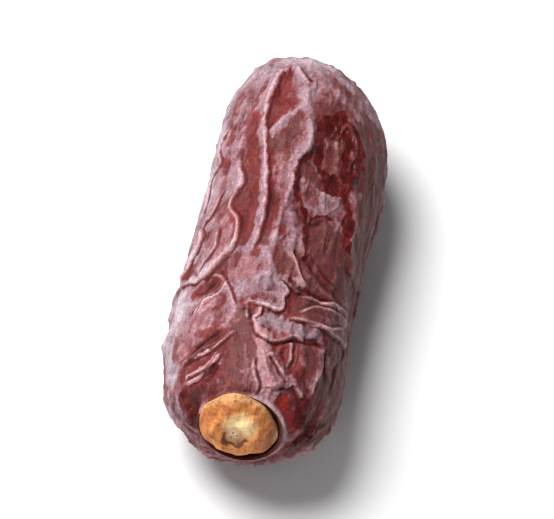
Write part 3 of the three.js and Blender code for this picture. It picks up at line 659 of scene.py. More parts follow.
def closed_skin(name, first, rings, last):
    """A mesh over rings of equally many points, closed by a single point at each end, in metres."""
    around = len(rings[0])
    points = np.vstack([first[None], *rings, last[None]]) * TO_METRES
    i = np.arange(around)
    following = (i + 1) % around
    rows = np.arange(len(rings) - 1)[:, None] * around + 1
    quads = np.stack([rows + i, rows + following, rows + around + following, rows + around + i], -1)
    end = len(points) - 1
    final = end - around
    faces = [(0, 1 + b, 1 + a) for a, b in zip(i, following)]
    faces += [(final + a, final + b, end) for a, b in zip(i, following)]
    faces += quads.reshape(-1, 4).tolist()
    mesh = bpy.data.meshes.new(name)
    mesh.from_pydata(points.tolist(), [], faces)
    mesh.polygons.foreach_set("use_smooth", np.ones(len(mesh.polygons), bool))
    mesh.update()
    made = bpy.data.objects.new(name, mesh)
    bpy.context.scene.collection.objects.link(made)
    return made


to_origin = -MIDDLE
skin_rings = list((skin + to_origin).reshape(SKIN_ALONG, SKIN_ROUND, 3))
for ring in skin_rings:
    ring[:, 2] = np.maximum(ring[:, 2], 0)  # the flat spot that it lies on
socket_floor = rim_middle - stem_out * SOCKET_DEPTH + to_origin
tip_end = body_point(np.array([HALF_LENGTH]), np.array([0.0]))[0] + to_origin
socket_rings = [ring + to_origin for ring in socket_rings]
fruit_skin = closed_skin("fruit_skin", socket_floor, socket_rings + skin_rings, tip_end)
print("fruit_skin:", len(fruit_skin.data.polygons), "faces")

# %% [markdown]
# ## Where the skin has its colours
#
# A date isn't one brown. Wax makes a dull mauve bloom, which stays on what stands up and is
# gone from what was wet. The hollows are dark red, and shine. A texture map would do, but it
# needs painting by hand. Here each patch is a stroke along a short path, with a finish, a
# strength and a width, and a later stroke covers an earlier one, as paint does. Waves in
# space make the strokes' borders uneven. The six numbers of the finish become attributes.

# %% Finishes of the skin: bloom, how pink it is, how frosted, wet, brown, and glowing red
FINISHES = {
    "frost": (1.0, 0.05, 1.0, 0, 0, 0),
    "mauve": (0.8, 0.24, 0.05, 0, 0, 0),
    "lilac": (0.78, 0.12, 0.1, 0, 0, 0),
    "pink": (1.0, 1.0, 0.4, 0, 0, 0),
    "rose": (0.72, 0.75, 0.05, 0, 0, 0),
    "rust": (-0.08, 0.6, 0, 0.1, 0, 0),
    "brown": (0.02, 1.0, 0, 0, 1, 0),
    "wet": (0, 0.5, 0, 1, 0, 0),
    "glow": (0, 0.5, 0, 0.8, 0, 1),
}
FINISH_PARTS = ("bloom", "pinkness", "frost", "wet", "brown", "glow")
UNPAINTED = (0.4, 0.35, 0.1, 0, 0.4, 0)

# %% Strokes of finish, laid over each other: name, finish, strength, half width, path
STROKES = [
    ("tip, far side", "mauve", 0.7, 3.2, [(24.3, -80), (25.2, -20), (25.2, 40), (24, 90)]),
    ("tip, far side, red", "rust", 0.6, 1.0, [(24.6, 120), (24.9, 160), (24.3, 200)]),
    # brown on the right edge: partly the skin's own brown, partly painted shade on that side
    ("right edge", "brown", 0.85, 2.4, [(16, 84), (9, 90), (1, 92), (-6, 92), (-13, 90)]),
    ("lower left flank", "mauve", 0.75, 2.2, [(12.9, -72), (8.8, -74), (4.5, -74), (-0.5, -65),
     (-3.7, -70)]),
    ("left flank, upper band", "mauve", 0.75, 0.8, [(19.4, -40), (16.7, -48), (13.9, -50),
     (11.3, -50), (9.7, -56)]),
    ("left edge, upper", "frost", 0.9, 1.0, [(19.8, -73), (17.1, -72), (14.1, -74), (10.6, -74),
     (7.4, -77), (4.7, -76)]),
    ("left edge, middle", "frost", 0.85, 0.9, [(3.2, -76), (1.5, -80), (-1.7, -71), (-3.7, -74)]),
    # frost on the top of the tip: partly the skin's own bloom, partly painted highlight
    ("tip", "frost", 0.7, 1.3, [(20, -62), (21.5, -51), (21.2, -30), (23.2, -18), (22.7, 4),
     (22.3, 25), (20.6, 38)]),
    ("right of the tip", "mauve", 0.45, 1.6, [(18.9, -2), (18, 10), (17, 25), (15.9, 36)]),
    ("left plate of the upper half", "mauve", 0.9, 1.0, [(9.7, -51), (7.1, -46), (5.1, -40),
     (4.1, -48), (2.7, -54)]),
    ("second left plate", "rose", 0.7, 0.95, [(0.9, -44), (-0.9, -40), (-2.9, -40), (-4.6, -43)]),
    ("between the branches", "rust", 0.85, 1.0, [(20.9, -22), (18.5, -22), (16.2, -24),
     (13.9, -26), (11.6, -24)]),
    ("left of the spine", "rust", 1.0, 0.75, [(14, -35), (11.5, -35), (9.1, -33), (6.9, -30.5),
     (5.1, -29), (3.2, -31), (2.2, -34)]),
    ("left of the spine, below", "rust", 0.9, 0.9, [(2.2, -34), (0.3, -31), (-1.5, -27),
     (-3.2, -24)]),
    ("right of the spine", "rust", 0.9, 0.62, [(10.3, -22), (7.1, -18), (4.4, -14), (1.6, -12),
     (-0.8, -10), (-3.1, -12), (-5.2, -13)]),
    ("plate above the middle fold", "brown", 0.8, 1.2, [(13.3, -9), (11.5, -12), (10, -17)]),
    ("right shoulder", "brown", 0.7, 1.6, [(16.4, 11), (15.7, 25), (14.1, 37), (12.4, 50)]),
    # brown on the right flank: partly the skin's own brown, partly painted shade on that side
    ("right flank", "brown", 0.95, 2.6, [(15, 51), (11.5, 60), (7.4, 66), (2.9, 68), (0.1, 70)]),
    ("pocket", "wet", 1.0, 1.6, [(13.9, 24), (12.1, 32), (9.2, 34), (6.8, 29)]),
    ("pocket, upper edge", "wet", 1.0, 0.8, [(12.7, 13), (14.5, 20), (14.1, 31), (12.4, 39),
     (10, 40)]),
    ("pocket, left side", "wet", 1.0, 0.38, [(11.2, 9), (9.1, 5), (7.1, 1), (4.8, 1), (3.2, 4),
     (1.9, 10), (0.9, 14), (-2, 16), (-4.4, 18)]),
    ("pocket, top", "wet", 0.9, 0.55, [(13.2, 8), (14.6, 14), (15, 24), (14, 30)]),
    ("pocket, channel left of the island", "wet", 1.0, 0.45, [(12.6, 9), (11.3, 10), (9.2, 12), (7.3, 17),
     (6.2, 27)]),
    ("pocket, right below", "wet", 0.95, 0.55, [(6.8, 34), (5, 40), (3, 44), (1, 46), (-0.5, 51)]),
    ("island in the pocket", "brown", 0.9, 0.85, [(12, 22), (10.2, 26), (8.2, 27)]),
    ("island, worn top", "rose", 0.25, 0.5, [(11.8, 24), (10, 28), (8.2, 28)]),
    ("lower plate of the pocket", "brown", 0.9, 1.0, [(6.8, 9), (5.1, 10), (3.6, 13)]),
    ("ridge across the pocket", "mauve", 0.55, 0.8, [(2.9, 12), (3.5, 22), (3.5, 36)]),
    ("under the ridge", "wet", 0.9, 0.25, [(1.2, 17), (1.9, 24), (2.1, 32)]),
    ("smooth plate", "brown", 1.0, 1.9, [(-0, 30), (-2, 34), (-3.4, 38)]),
    ("narrow plate", "mauve", 0.6, 0.75, [(1, 1.5), (-0.3, 4.5), (-1.9, 7.5), (-3.6, 11.5), (-5.3, 16)]),
    ("trough beside the narrow plate", "rust", 0.8, 0.45, [(-1.8, -2), (-3.5, 1), (-5.6, 0)]),
    ("spine, upper part", "mauve", 0.95, 0.55, [(21.4, -27), (18.9, -30), (17, -32), (14.2, -31.5),
     (11.6, -28.5), (9.7, -27)]),
    ("spine, lower part", "mauve", 0.9, 0.42, [(9.7, -26), (6.6, -21.5), (3.8, -19), (1.5, -17.5),
     (-0.8, -16.5), (-2.8, -16.5), (-4.3, -20), (-4.6, -28)]),
    ("right branch", "lilac", 0.9, 0.55, [(21.5, -14), (19.2, -6), (17.4, -4), (15.6, -4),
     (14.5, -8), (13.6, -14), (12.1, -18), (10.9, -22)]),
    ("beside the right branch", "mauve", 0.6, 1.0, [(17.9, -2), (15.1, 0), (13, 1)]),
    ("middle fold, head", "lilac", 0.6, 0.6, [(12.3, 4), (10.4, 4), (9.2, 0), (8, -6)]),
    ("middle fold", "mauve", 0.5, 0.7, [(8, -8), (5.6, -6), (3.3, -4), (1.2, -4), (-0.8, -4),
     (-2.6, -4), (-4.9, -6)]),
    ("middle fold, left side", "rose", 0.8, 0.6, [(9.1, -10), (7.3, -12), (5.1, -12), (3, -8)]),
    ("crest over the lens", "frost", 0.9, 0.5, [(-4.7, -30), (-5.9, -38), (-6.9, -56),
     (-7.3, -76), (-9.6, -75)]),
    ("centre", "rose", 0.9, 1.3, [(-6.2, -31), (-7, -18), (-7.3, -7)]),
    ("hook", "lilac", 0.8, 0.5, [(-4.3, -10), (-5.9, -4), (-7.6, -2), (-8.4, -9)]),
    ("right of the centre", "brown", 0.8, 1.5, [(-5.8, 7), (-6.2, 18), (-7.2, 30)]),
    ("plate on the right", "brown", 1.0, 1.9, [(-1.4, 34), (-3.5, 40), (-5, 48)]),
    ("red over the tongue", "wet", 0.6, 0.3, [(-7.6, 10), (-8.2, 18), (-8.5, 28), (-8.4, 40)]),
    ("tongue", "lilac", 0.95, 0.95, [(-9.3, -26), (-9.7, -16), (-9.4, -3), (-9.4, 7)]),
    ("tongue, lower edge", "lilac", 0.85, 0.45, [(-11.4, -4), (-11.9, 4), (-11.3, 8)]),
    ("lens", "rust", 0.9, 0.75, [(-7.8, -38), (-8.5, -48), (-9, -60)]),
    ("left of the tongue", "mauve", 0.9, 1.1, [(-10.5, -32), (-12, -26), (-13.7, -22)]),
    ("left plate", "rust", 0.55, 1.1, [(-11.4, -34), (-12.9, -43), (-14.3, -46), (-15.2, -34)]),
    ("left plate, pink patch", "pink", 0.6, 0.36, [(-15.4, -51), (-14.7, -47), (-14.3, -38)]),
    ("left plate, upper pink patch", "pink", 0.5, 0.34, [(-12.6, -46), (-11.8, -41), (-11.4, -34)]),
    ("left plate, lower edge", "rose", 0.7, 0.8, [(-14.4, -51), (-16.1, -54), (-17.3, -58)]),
    ("small hollow", "rust", 0.8, 0.5, [(-11.9, -13), (-12.9, -8)]),
    ("below the tongue", "rose", 0.6, 0.6, [(-12.6, -3), (-12.8, 4)]),
    ("slanting crack", "wet", 0.95, 0.35, [(-15.5, -19), (-17.2, -28), (-17.9, -38),
     (-18.7, -50)]),
    ("slanting fold", "pink", 0.9, 0.3, [(-16.3, -20), (-17.8, -27), (-18.4, -38), (-19, -48)]),
    ("red of the pink plate", "rust", 0.8, 0.5, [(-18.7, -30), (-19.9, -40), (-20.4, -50)]),
    ("pink plate", "pink", 1.0, 0.9, [(-19, -27), (-20.2, -35), (-21.2, -46), (-21.6, -58)]),
    ("below the pink plate", "wet", 0.7, 0.6, [(-20, -29), (-22.3, -40), (-22.9, -60)]),
    ("left of the fan", "rust", 0.9, 0.9, [(-9.7, 18), (-11.9, 18)]),
    ("fan", "brown", 0.85, 1.1, [(-11.1, 24), (-10.5, 35), (-9.9, 50)]),
    ("fan, upper plate", "mauve", 0.4, 0.6, [(-9, 34), (-8.8, 48)]),
    ("band", "lilac", 0.95, 0.95, [(-14, -2), (-14, 7), (-14.1, 18), (-13.4, 29), (-12.9, 41)]),
    ("brown centre", "brown", 0.95, 1.5, [(-14.1, -13), (-16.9, -10), (-19.7, -10), (-23.8, -10)]),
    ("left of the brown centre", "rust", 0.6, 0.6, [(-16.8, -24), (-19.5, -22), (-22.5, -25)]),
    ("brown centre, mauve stripe", "mauve", 0.4, 0.35, [(-15.5, -9), (-19.5, -6), (-23.4, -5)]),
    ("pillar", "pink", 0.95, 0.95, [(-15.2, -1), (-17.2, 4), (-19.6, 6), (-22, 13), (-23.5, 26)]),
    ("pillar, right foot", "rose", 0.8, 0.6, [(-20.2, 14), (-21, 24)]),
    ("red right of the pillar", "rust", 1.0, 1.0, [(-16.6, 15), (-17.3, 24), (-18.2, 30)]),
    # brown on the lower right: partly the skin's own brown, partly painted shade on that side
    ("right of the band", "brown", 0.55, 1.4, [(-15.8, 37), (-18.1, 44), (-19.3, 57)]),
    ("far right", "brown", 0.9, 1.8, [(-12.2, 54), (-13.8, 70), (-17.2, 70)]),
    ("low right", "brown", 0.85, 2.6, [(-5, 82), (-12, 88), (-18, 84), (-22, 88)]),
    ("red hollow", "glow", 1.0, 0.75, [(-23.8, 37), (-24.1, 54), (-24.3, 73)]),
    ("round the red hollow", "wet", 0.9, 1.0, [(-22.2, 46), (-23.1, 66), (-23.5, 89),
     (-23.8, 108)]),
    ("lower left edge", "frost", 1.0, 1.5, [(-7.5, -82), (-11.3, -74), (-13.7, -78), (-15.8, -81),
     (-18.7, -75)]),
    ("left of the calyx, edge", "frost", 0.7, 0.35, [(-19.4, -76), (-21.4, -87), (-22, -106)]),
    ("left of the calyx", "wet", 0.85, 1.1, [(-22.5, -64), (-23.7, -80), (-24.1, -100)]),
]


# %% Paint the strokes
def painted(points, degrees, from_rim):
    """The six numbers of the finish at every point. A later stroke covers an earlier one."""
    layers = np.tile(np.array(UNPAINTED, float), (len(points), 1))
    cloud = wave_field(51, 9)(points)
    layers[:, 0] += 0.22 * cloud
    # browner towards the right flank: partly the skin's own bloom-free brown, partly painted shade on
    # that side
    layers[:, 4] += 0.25 * smooth(turn_to_180(degrees) / 60 - 0.5)
    wobble = 0.5 * wave_field(52, 1.6)(points) + 0.5 * wave_field(53, 0.8)(points)
    wide_wobble = wave_field(54, 3.2)(points)
    for _, finish, strength, half_width, path in STROKES:
        near, distance, _, _ = distance_to(path, points, 1.9 * half_width + 1.2)
        distance = distance + 0.22 * wobble[near] + 0.25 * half_width * wide_wobble[near]
        soft = (1.3 if finish == "frost" else 0.3) * half_width + 0.15
        cover = strength * smooth((half_width - distance) / soft + 0.5)[:, None]
        layers[near] += cover * (np.array(FINISHES[finish]) - layers[near])
    on_right = smooth(np.cos(np.radians(degrees - 90)) + 0.6)
    collar = bell((from_rim - 0.1) / 0.2) * (0.3 + 0.7 * on_right)
    return layers + collar[:, None] * (np.array(FINISHES["frost"]) - layers)


finish_parts = dict(zip(FINISH_PARTS, painted(smooth_points, grid_degrees, from_rim).T))
print(len(STROKES), "strokes of finish")

# %% Height above the surroundings, from a blurred copy of the relief
def blurred(values, times):
    grid = values.reshape(SKIN_ALONG, SKIN_ROUND)
    for _ in range(times):
        grid = (grid + np.roll(grid, 1, 1) + np.roll(grid, -1, 1)) / 3
        padded = np.vstack([grid[:1], grid, grid[-1:]])
        grid = (padded[:-2] + padded[1:-1] + padded[2:]) / 3
    return grid.ravel()


whole = relief * (1 - near_rim)
stands_up = clamp01((whole - blurred(whole, 40)) / 0.35)
lies_low = clamp01((blurred(whole, 30) - whole) / 0.3)
thin_crest = clamp01((whole - blurred(whole, 2)) / 0.13)


def store(piece, name, values, before, after):
    """Keeps one number for each point, with other numbers for the first points and the last one."""
    kept = piece.data.attributes.new(name, "FLOAT", "POINT")
    first = np.full(len(piece.data.vertices) - len(values) - 1, before)
    kept.data.foreach_set("value", np.concatenate([first, values, [after]]).astype(np.float32))


for name, values in finish_parts.items():
    store(fruit_skin, name, values, 0.0, 0.3)
loose = clamp01(1 - 0.5 * finish_parts["brown"]) * past_rim * (1 - 0.7 * foot)
# the socket's points are given low and crack values that paint shade into the socket round the calyx
for name, values, in_socket, at_tip in (
        ("stands_up", stands_up, 0.0, 0.0), ("lies_low", lies_low, 0.6, 0.0),
        ("thin_crest", thin_crest, 0.0, 0.0), ("crack_and_socket_shade", clamp01(cracks / 0.35), 0.5, 0.0),
        ("seam_and_crease_shade", seams, 0.0, 0.0), ("edge", edges, 0.0, 0.0), ("loose", loose, 0.0, 0.3)):
    store(fruit_skin, name, values, in_socket, at_tip)
for name in ("bloom", "wet"):
    print(name, finish_parts[name].mean().round(2), "on average")

# %% [markdown]
# ## The finest wrinkles, with Geometry Nodes
#
# All over the skin runs a web of wrinkles a few tenths of a millimetre high. It follows the
# surface by a rule, so a node tree makes it: a Voronoi texture gives the distance to the
# nearest cell border, and each point near a border is pushed out along its normal. Noise
# bends the cells first, because straight borders look like cracked mud. The wrinkle's height
# is stored as an attribute, so that the material can lighten its crests.


# %% Helpers that add one node and set its inputs
def add_node(tree, kind, inputs=None, **settings):
    node = tree.nodes.new(kind)
    for name, value in settings.items():
        setattr(node, name, value)
    for name, value in (inputs or {}).items():
        socket = node.inputs[name]
        if isinstance(value, bpy.types.NodeSocket):
            tree.links.new(value, socket)
        else:
            socket.default_value = value
    return node


def calculate(tree, operation, first, second, clamp=False):
    return add_node(tree, "ShaderNodeMath", {0: first, 1: second}, operation=operation,
                    use_clamp=clamp).outputs[0]


def calculate_vector(tree, operation, vector, by):
    """The same for vectors. Only SCALE takes a plain number as the second value."""
    second = "Scale" if operation == "SCALE" else 1
    return add_node(tree, "ShaderNodeVectorMath", {0: vector, second: by}, operation=operation).outputs[0]


def finish_tree(tree, geometry, material, result):
    """The last nodes of a Geometry Nodes tree: real meshes, with their material."""
    real = add_node(tree, "GeometryNodeRealizeInstances", {"Geometry": geometry}).outputs[0]
    coloured = add_node(tree, "GeometryNodeSetMaterial", {"Geometry": real, "Material": material})
    tree.links.new(coloured.outputs[0], result.inputs[0])
    print("tree", tree.name, "with", len(tree.nodes), "nodes")


# %% Helpers that make a Geometry Nodes tree and run it on a piece
def new_tree(name, inputs):
    """A Geometry Nodes tree with named number inputs, and each input's identifier."""
    tree = bpy.data.node_groups.new(name, "GeometryNodeTree")
    tree.interface.new_socket("Geometry", in_out="INPUT", socket_type="NodeSocketGeometry")
    tree.interface.new_socket("Geometry", in_out="OUTPUT", socket_type="NodeSocketGeometry")
    identifiers = {}
    for label, kind in inputs.items():
        socket = tree.interface.new_socket(label, in_out="INPUT", socket_type="NodeSocket" + kind)
        identifiers[label] = socket.identifier
    return tree, tree.nodes.new("NodeGroupInput"), tree.nodes.new("NodeGroupOutput"), identifiers


def run_tree(piece, tree, identifiers, values):
    """Runs a tree on a piece and keeps the result as its plain mesh."""
    modifier = piece.modifiers.new(tree.name, "NODES")
    modifier.node_group = tree
    for label, value in values.items():
        modifier[identifiers[label]] = value
    bpy.context.view_layer.update()
    graph = bpy.context.evaluated_depsgraph_get()
    mesh = bpy.data.meshes.new_from_object(piece.evaluated_get(graph), depsgraph=graph)
    piece.modifiers.remove(modifier)
    piece.data = mesh


# %% The tree that wrinkles the skin
wrinkles, given, result, wrinkle_inputs = new_tree("Wrinkles", {
    "Cell size": "Float", "Stretch": "Float", "Height": "Float", "Bend": "Float",
    "Seed": "Float", "Material": "Material",
})
position = add_node(wrinkles, "GeometryNodeInputPosition").outputs[0]
normal = add_node(wrinkles, "GeometryNodeInputNormal").outputs[0]
per_cell = calculate(wrinkles, "DIVIDE", 1.0, given.outputs["Cell size"])
in_cells = calculate_vector(wrinkles, "SCALE", position, per_cell)
bend = add_node(wrinkles, "ShaderNodeTexNoise", {"Vector": in_cells, "W": given.outputs["Seed"],
                "Scale": 0.6, "Detail": 2.0}, noise_dimensions="4D").outputs["Color"]
bend = calculate_vector(wrinkles, "SUBTRACT", bend, (0.5, 0.5, 0.5))
bend = calculate_vector(wrinkles, "SCALE", bend, given.outputs["Bend"])
bent = calculate_vector(wrinkles, "ADD", in_cells, bend)
squeeze = calculate(wrinkles, "DIVIDE", 1.0, given.outputs["Stretch"])
factors = add_node(wrinkles, "ShaderNodeCombineXYZ", {"X": 1.0, "Y": squeeze, "Z": 1.0}).outputs[0]
cells = calculate_vector(wrinkles, "MULTIPLY", bent, factors)
border = add_node(wrinkles, "ShaderNodeTexVoronoi", {"Vector": cells, "W": given.outputs["Seed"],
                  "Scale": 1.0}, voronoi_dimensions="4D", feature="DISTANCE_TO_EDGE").outputs["Distance"]
ridge = add_node(wrinkles, "ShaderNodeMapRange", {"Value": border, "From Min": 0.0, "From Max": 0.17,
                 "To Min": 1.0, "To Max": 0.0}, interpolation_type="SMOOTHERSTEP").outputs["Result"]
fading = add_node(wrinkles, "ShaderNodeTexNoise", {"Vector": in_cells, "Scale": 0.35,
                  "Detail": 1.0}).outputs[0]
patchy = add_node(wrinkles, "ShaderNodeMapRange", {"Value": fading, "From Min": 0.3,
                  "From Max": 0.55}).outputs["Result"]
loose = add_node(wrinkles, "GeometryNodeInputNamedAttribute", {"Name": "loose"},
                 data_type="FLOAT").outputs[0]
amount = calculate(wrinkles, "MULTIPLY", ridge, calculate(wrinkles, "MULTIPLY", patchy, loose))
high = calculate(wrinkles, "MULTIPLY", amount, given.outputs["Height"])
push = calculate_vector(wrinkles, "SCALE", normal, high)
raised = add_node(wrinkles, "GeometryNodeSetPosition", {"Geometry": given.outputs[0], "Offset": push})
kept = add_node(wrinkles, "GeometryNodeStoreNamedAttribute", {"Geometry": raised.outputs[0],
                "Name": "wrinkle", "Value": amount}, data_type="FLOAT", domain="POINT")
finish_tree(wrinkles, kept.outputs[0], given.outputs["Material"], result)

# %% [markdown]
# ## The calyx
#
# The calyx is the flower's cup, dried to a woody button. It is golden where it is clean and
# brown where it broke, with the pale scar of the stalk off its centre. Looking closely, its
# top is uneven, and runs in faint fibres from the scar to the brim. It is a surface of rings
# round its own axis, like the part's solid, with that grain added to each point's height.

# %% Sizes of the calyx
CALYX_RADIUS, CALYX_HEIGHT, CALYX_EDGE, CALYX_BRIM, CALYX_GAP = 4.15, 2.75, 1.3, 0.95, 0.3
SCAR_RADIUS, SCAR_DEPTH, SCAR_SHIFT = 1.75, 0.5, (-0.5, -0.3)
CALYX_ROUND, DOME_RINGS, CALYX_WAVE = 240, 54, 0.07
calyx_turn = -2 * pi * np.arange(CALYX_ROUND) / CALYX_ROUND
lobes = 1 + 0.03 * np.cos(3 * calyx_turn + 0.5) + 0.018 * np.cos(7 * calyx_turn + 2)
ragged = sum(np.sin(k * calyx_turn + k * k) / k for k in (11, 17, 23, 31, 43)) * 0.05
upper_left = np.maximum(0, np.cos(calyx_turn + radians(50)))
calyx_base = rim_middle + stem_out * (CALYX_GAP - SOCKET_DEPTH) + to_origin
grain = wave_field(71, 0.9, 9)
fine_grain = wave_field(73, 0.42, 11)
coarse_grain = wave_field(72, 2.4, 7)


def calyx_ring(radius, height, wave=0.0, brim=0.0, rough=0.0, shift=0.0):
    """One ring of the calyx, placed in its socket. Rough is the share of grain in its height."""
    reach = radius * (lobes + ragged * 0.35 * clamp01(wave / CALYX_WAVE)) + brim * upper_left
    lift = wave * (np.cos(3 * calyx_turn + 1.4) + 0.5 * np.cos(8 * calyx_turn))
    across = reach * np.sin(calyx_turn) + shift * SCAR_SHIFT[0]
    up = reach * np.cos(calyx_turn) + shift * SCAR_SHIFT[1]
    flat = np.stack([across, up, np.full(CALYX_ROUND, radius * 0.6)], -1)
    fibres = 0.5 * np.sin(38 * calyx_turn + 2.2 * coarse_grain(flat))
    fibres = fibres + 0.3 * np.sin(61 * calyx_turn + 1.3)
    bumps = 0.04 * grain(flat) + 0.02 * fine_grain(flat) + 0.11 * coarse_grain(flat)
    bumps = bumps + 0.006 * fibres * clamp01(radius / 2 - 0.6)
    top = height + lift + rough * bumps
    place = calyx_base + across[:, None] * stem_right + up[:, None] * stem_up
    return place + top[:, None] * stem_out


# %% Rings from the hidden base, over the brim and the dome, into the scar
calyx_rings = [
    calyx_ring(CALYX_RADIUS * 0.5, 0),
    calyx_ring(CALYX_RADIUS - 0.3, 0),
    calyx_ring(CALYX_RADIUS, CALYX_EDGE * 0.35),
    calyx_ring(CALYX_RADIUS, CALYX_EDGE * 0.7),
]
for part in np.linspace(0, 1, DOME_RINGS):
    rise = sin(part * pi / 2) ** 0.85
    radius = CALYX_RADIUS + (SCAR_RADIUS - CALYX_RADIUS) * part
    height = CALYX_EDGE + (CALYX_HEIGHT - CALYX_EDGE) * rise - 0.1 * bell((part - 0.8) / 0.08)
    wave, brim = CALYX_WAVE * (1 - part), CALYX_BRIM * (1 - part)
    calyx_rings.append(calyx_ring(radius, height, wave, brim, min(1, part * 12), part))
for part in np.linspace(0.06, 0.96, 18):
    radius = SCAR_RADIUS * (1 - part)
    dish = SCAR_DEPTH * (smooth(part / 0.5) - 0.6 * smooth((part - 0.5) / 0.4))
    calyx_rings.append(calyx_ring(radius, CALYX_HEIGHT - dish, 0, 0, 0.8 * (1 - part), 1))
base_end = calyx_base
scar_middle = calyx_base + SCAR_SHIFT[0] * stem_right + SCAR_SHIFT[1] * stem_up
scar_end = scar_middle + stem_out * (CALYX_HEIGHT - SCAR_DEPTH * 0.4)
calyx_button = closed_skin("calyx_button", base_end, calyx_rings, scar_end)
print("calyx_button:", len(calyx_button.data.polygons), "faces")

# %% How far each point is from the scar's middle, and on which side, for the calyx's colours
local = np.vstack(calyx_rings) - scar_middle
from_middle = np.hypot(local @ stem_right, local @ stem_up)
store(calyx_button, "from_middle", from_middle / CALYX_RADIUS, 0.0, 0.0)
store(calyx_button, "to_the_right", (local @ stem_right) / CALYX_RADIUS, 0.0, 0.0)
store(calyx_button, "upwards", (local @ stem_up) / CALYX_RADIUS, 0.0, 0.0)
store(calyx_button, "out_of_socket", (local @ stem_out) / CALYX_HEIGHT, 0.0, 0.8)

# %% [markdown]
# ## Torn fibres in the scar
#
# The stalk was a bundle of fibres, and their torn ends stand in the scar. They are all alike,
# so one short cone is instanced on points of a disc, each turned and sized at random from a
# fixed seed.

# %% The tree that strews the fibre ends over the scar
fibre_ends, given, result, fibre_inputs = new_tree("Fibre_ends", {
    "Density": "Float", "Length": "Float", "Thickness": "Float", "Seed": "Int", "Material": "Material",
})
points = add_node(fibre_ends, "GeometryNodeDistributePointsOnFaces", {"Mesh": given.outputs[0],
                  "Density": given.outputs["Density"], "Seed": given.outputs["Seed"]})
cone = add_node(fibre_ends, "GeometryNodeMeshCone", {"Vertices": 5, "Side Segments": 2,
                "Radius Top": 0.00003, "Radius Bottom": given.outputs["Thickness"],
                "Depth": given.outputs["Length"]})
lean = add_node(fibre_ends, "FunctionNodeRandomValue", {"Min": (-0.5, -0.5, 0.0), "Max": (0.5, 0.5, 6.28),
                "Seed": given.outputs["Seed"]}, data_type="FLOAT_VECTOR").outputs[0]
size = add_node(fibre_ends, "FunctionNodeRandomValue", {2: 0.5, 3: 1.2, "Seed": given.outputs["Seed"]},
                data_type="FLOAT").outputs[1]
turned = add_node(fibre_ends, "FunctionNodeRotateRotation", {"Rotation": points.outputs["Rotation"],
                  "Rotate By": lean}, rotation_space="LOCAL").outputs[0]
placed = add_node(fibre_ends, "GeometryNodeInstanceOnPoints", {"Points": points.outputs["Points"],
                  "Instance": cone.outputs[0], "Rotation": turned, "Scale": size})
finish_tree(fibre_ends, placed.outputs[0], given.outputs["Material"], result)

# %% [markdown]
# ## The skin's material
#
# One Principled shader makes the skin. Its colour is built from the inside out: wine-red skin
# with plain brown patches and amber flecks, dark wet hollows, the mauve bloom, pale crests and
# plate edges that are partly painted highlight, dark red seams that are partly painted shade,
# the cracks and pale specks, and last painted shade, darker in low places and lighter on raised
# ones. Each step is mixed in by one of the attributes, broken up by noise, because on a real
# fruit no patch has a clean edge. Light goes a little way into the skin before it comes out
# again, so the shader has some subsurface scattering, and the wet hollows have a thin coat that
# shines.

# %% Helpers for shader trees
def new_material(name):
    material = bpy.data.materials.new(name)
    material.use_nodes = True
    tree = material.node_tree
    tree.nodes.clear()
    output = tree.nodes.new("ShaderNodeOutputMaterial")
    shader = tree.nodes.new("ShaderNodeBsdfPrincipled")
    tree.links.new(shader.outputs[0], output.inputs["Surface"])
    return material, tree, shader


def attribute(tree, name):
    return add_node(tree, "ShaderNodeAttribute", attribute_name=name).outputs["Fac"]


def noise(tree, where, scale, detail=3.0, roughness=0.55, distortion=0.0):
    return add_node(tree, "ShaderNodeTexNoise", {"Vector": where, "Scale": scale, "Detail": detail,
                    "Roughness": roughness, "Distortion": distortion}).outputs[0]


def spread(tree, value, low, high, to_low=0.0, to_high=1.0):
    """Stretches the values from low to high over a new range."""
    return add_node(tree, "ShaderNodeMapRange", {"Value": value, "From Min": low, "From Max": high,
                    "To Min": to_low, "To Max": to_high}, interpolation_type="SMOOTHSTEP").outputs[0]


def mix(tree, share, first, second, blend="MIX"):
    node = add_node(tree, "ShaderNodeMix", data_type="RGBA", blend_type=blend)
    for socket, value in zip((node.inputs[0], node.inputs[6], node.inputs[7]), (share, first, second)):
        if isinstance(value, bpy.types.NodeSocket):
            tree.links.new(value, socket)
        elif isinstance(value, tuple):
            socket.default_value = (*value, 1.0)
        else:
            socket.default_value = value
    return node.outputs[2]


def total(tree, *parts):
    """The sum of values. A pair is a value and its share."""
    result = None
    for part in parts:
        if isinstance(part, tuple):
            part = calculate(tree, "MULTIPLY", *part)
        result = part if result is None else calculate(tree, "ADD", result, part)
    return result


def product(tree, first, *others):
    for other in others:
        first = calculate(tree, "MULTIPLY", first, other)
    return first


# %% Colours of the skin, in linear light
WINE = (0.2, 0.03, 0.032)
WINE_DARK = (0.13, 0.017, 0.017)
BROWN = (0.13, 0.033, 0.034)
OXBLOOD = (0.06, 0.004, 0.004)
RED_GLOW = (0.25, 0.02, 0.017)
LILAC = (0.272, 0.188, 0.226)
ROSE = (0.38, 0.155, 0.165)
FROST = (0.52, 0.445, 0.48)
PALE_CREST = (0.64, 0.4, 0.41)
AMBER = (0.3, 0.08, 0.034)
CRACK = (0.045, 0.005, 0.005)
SEAM = (0.075, 0.008, 0.008)

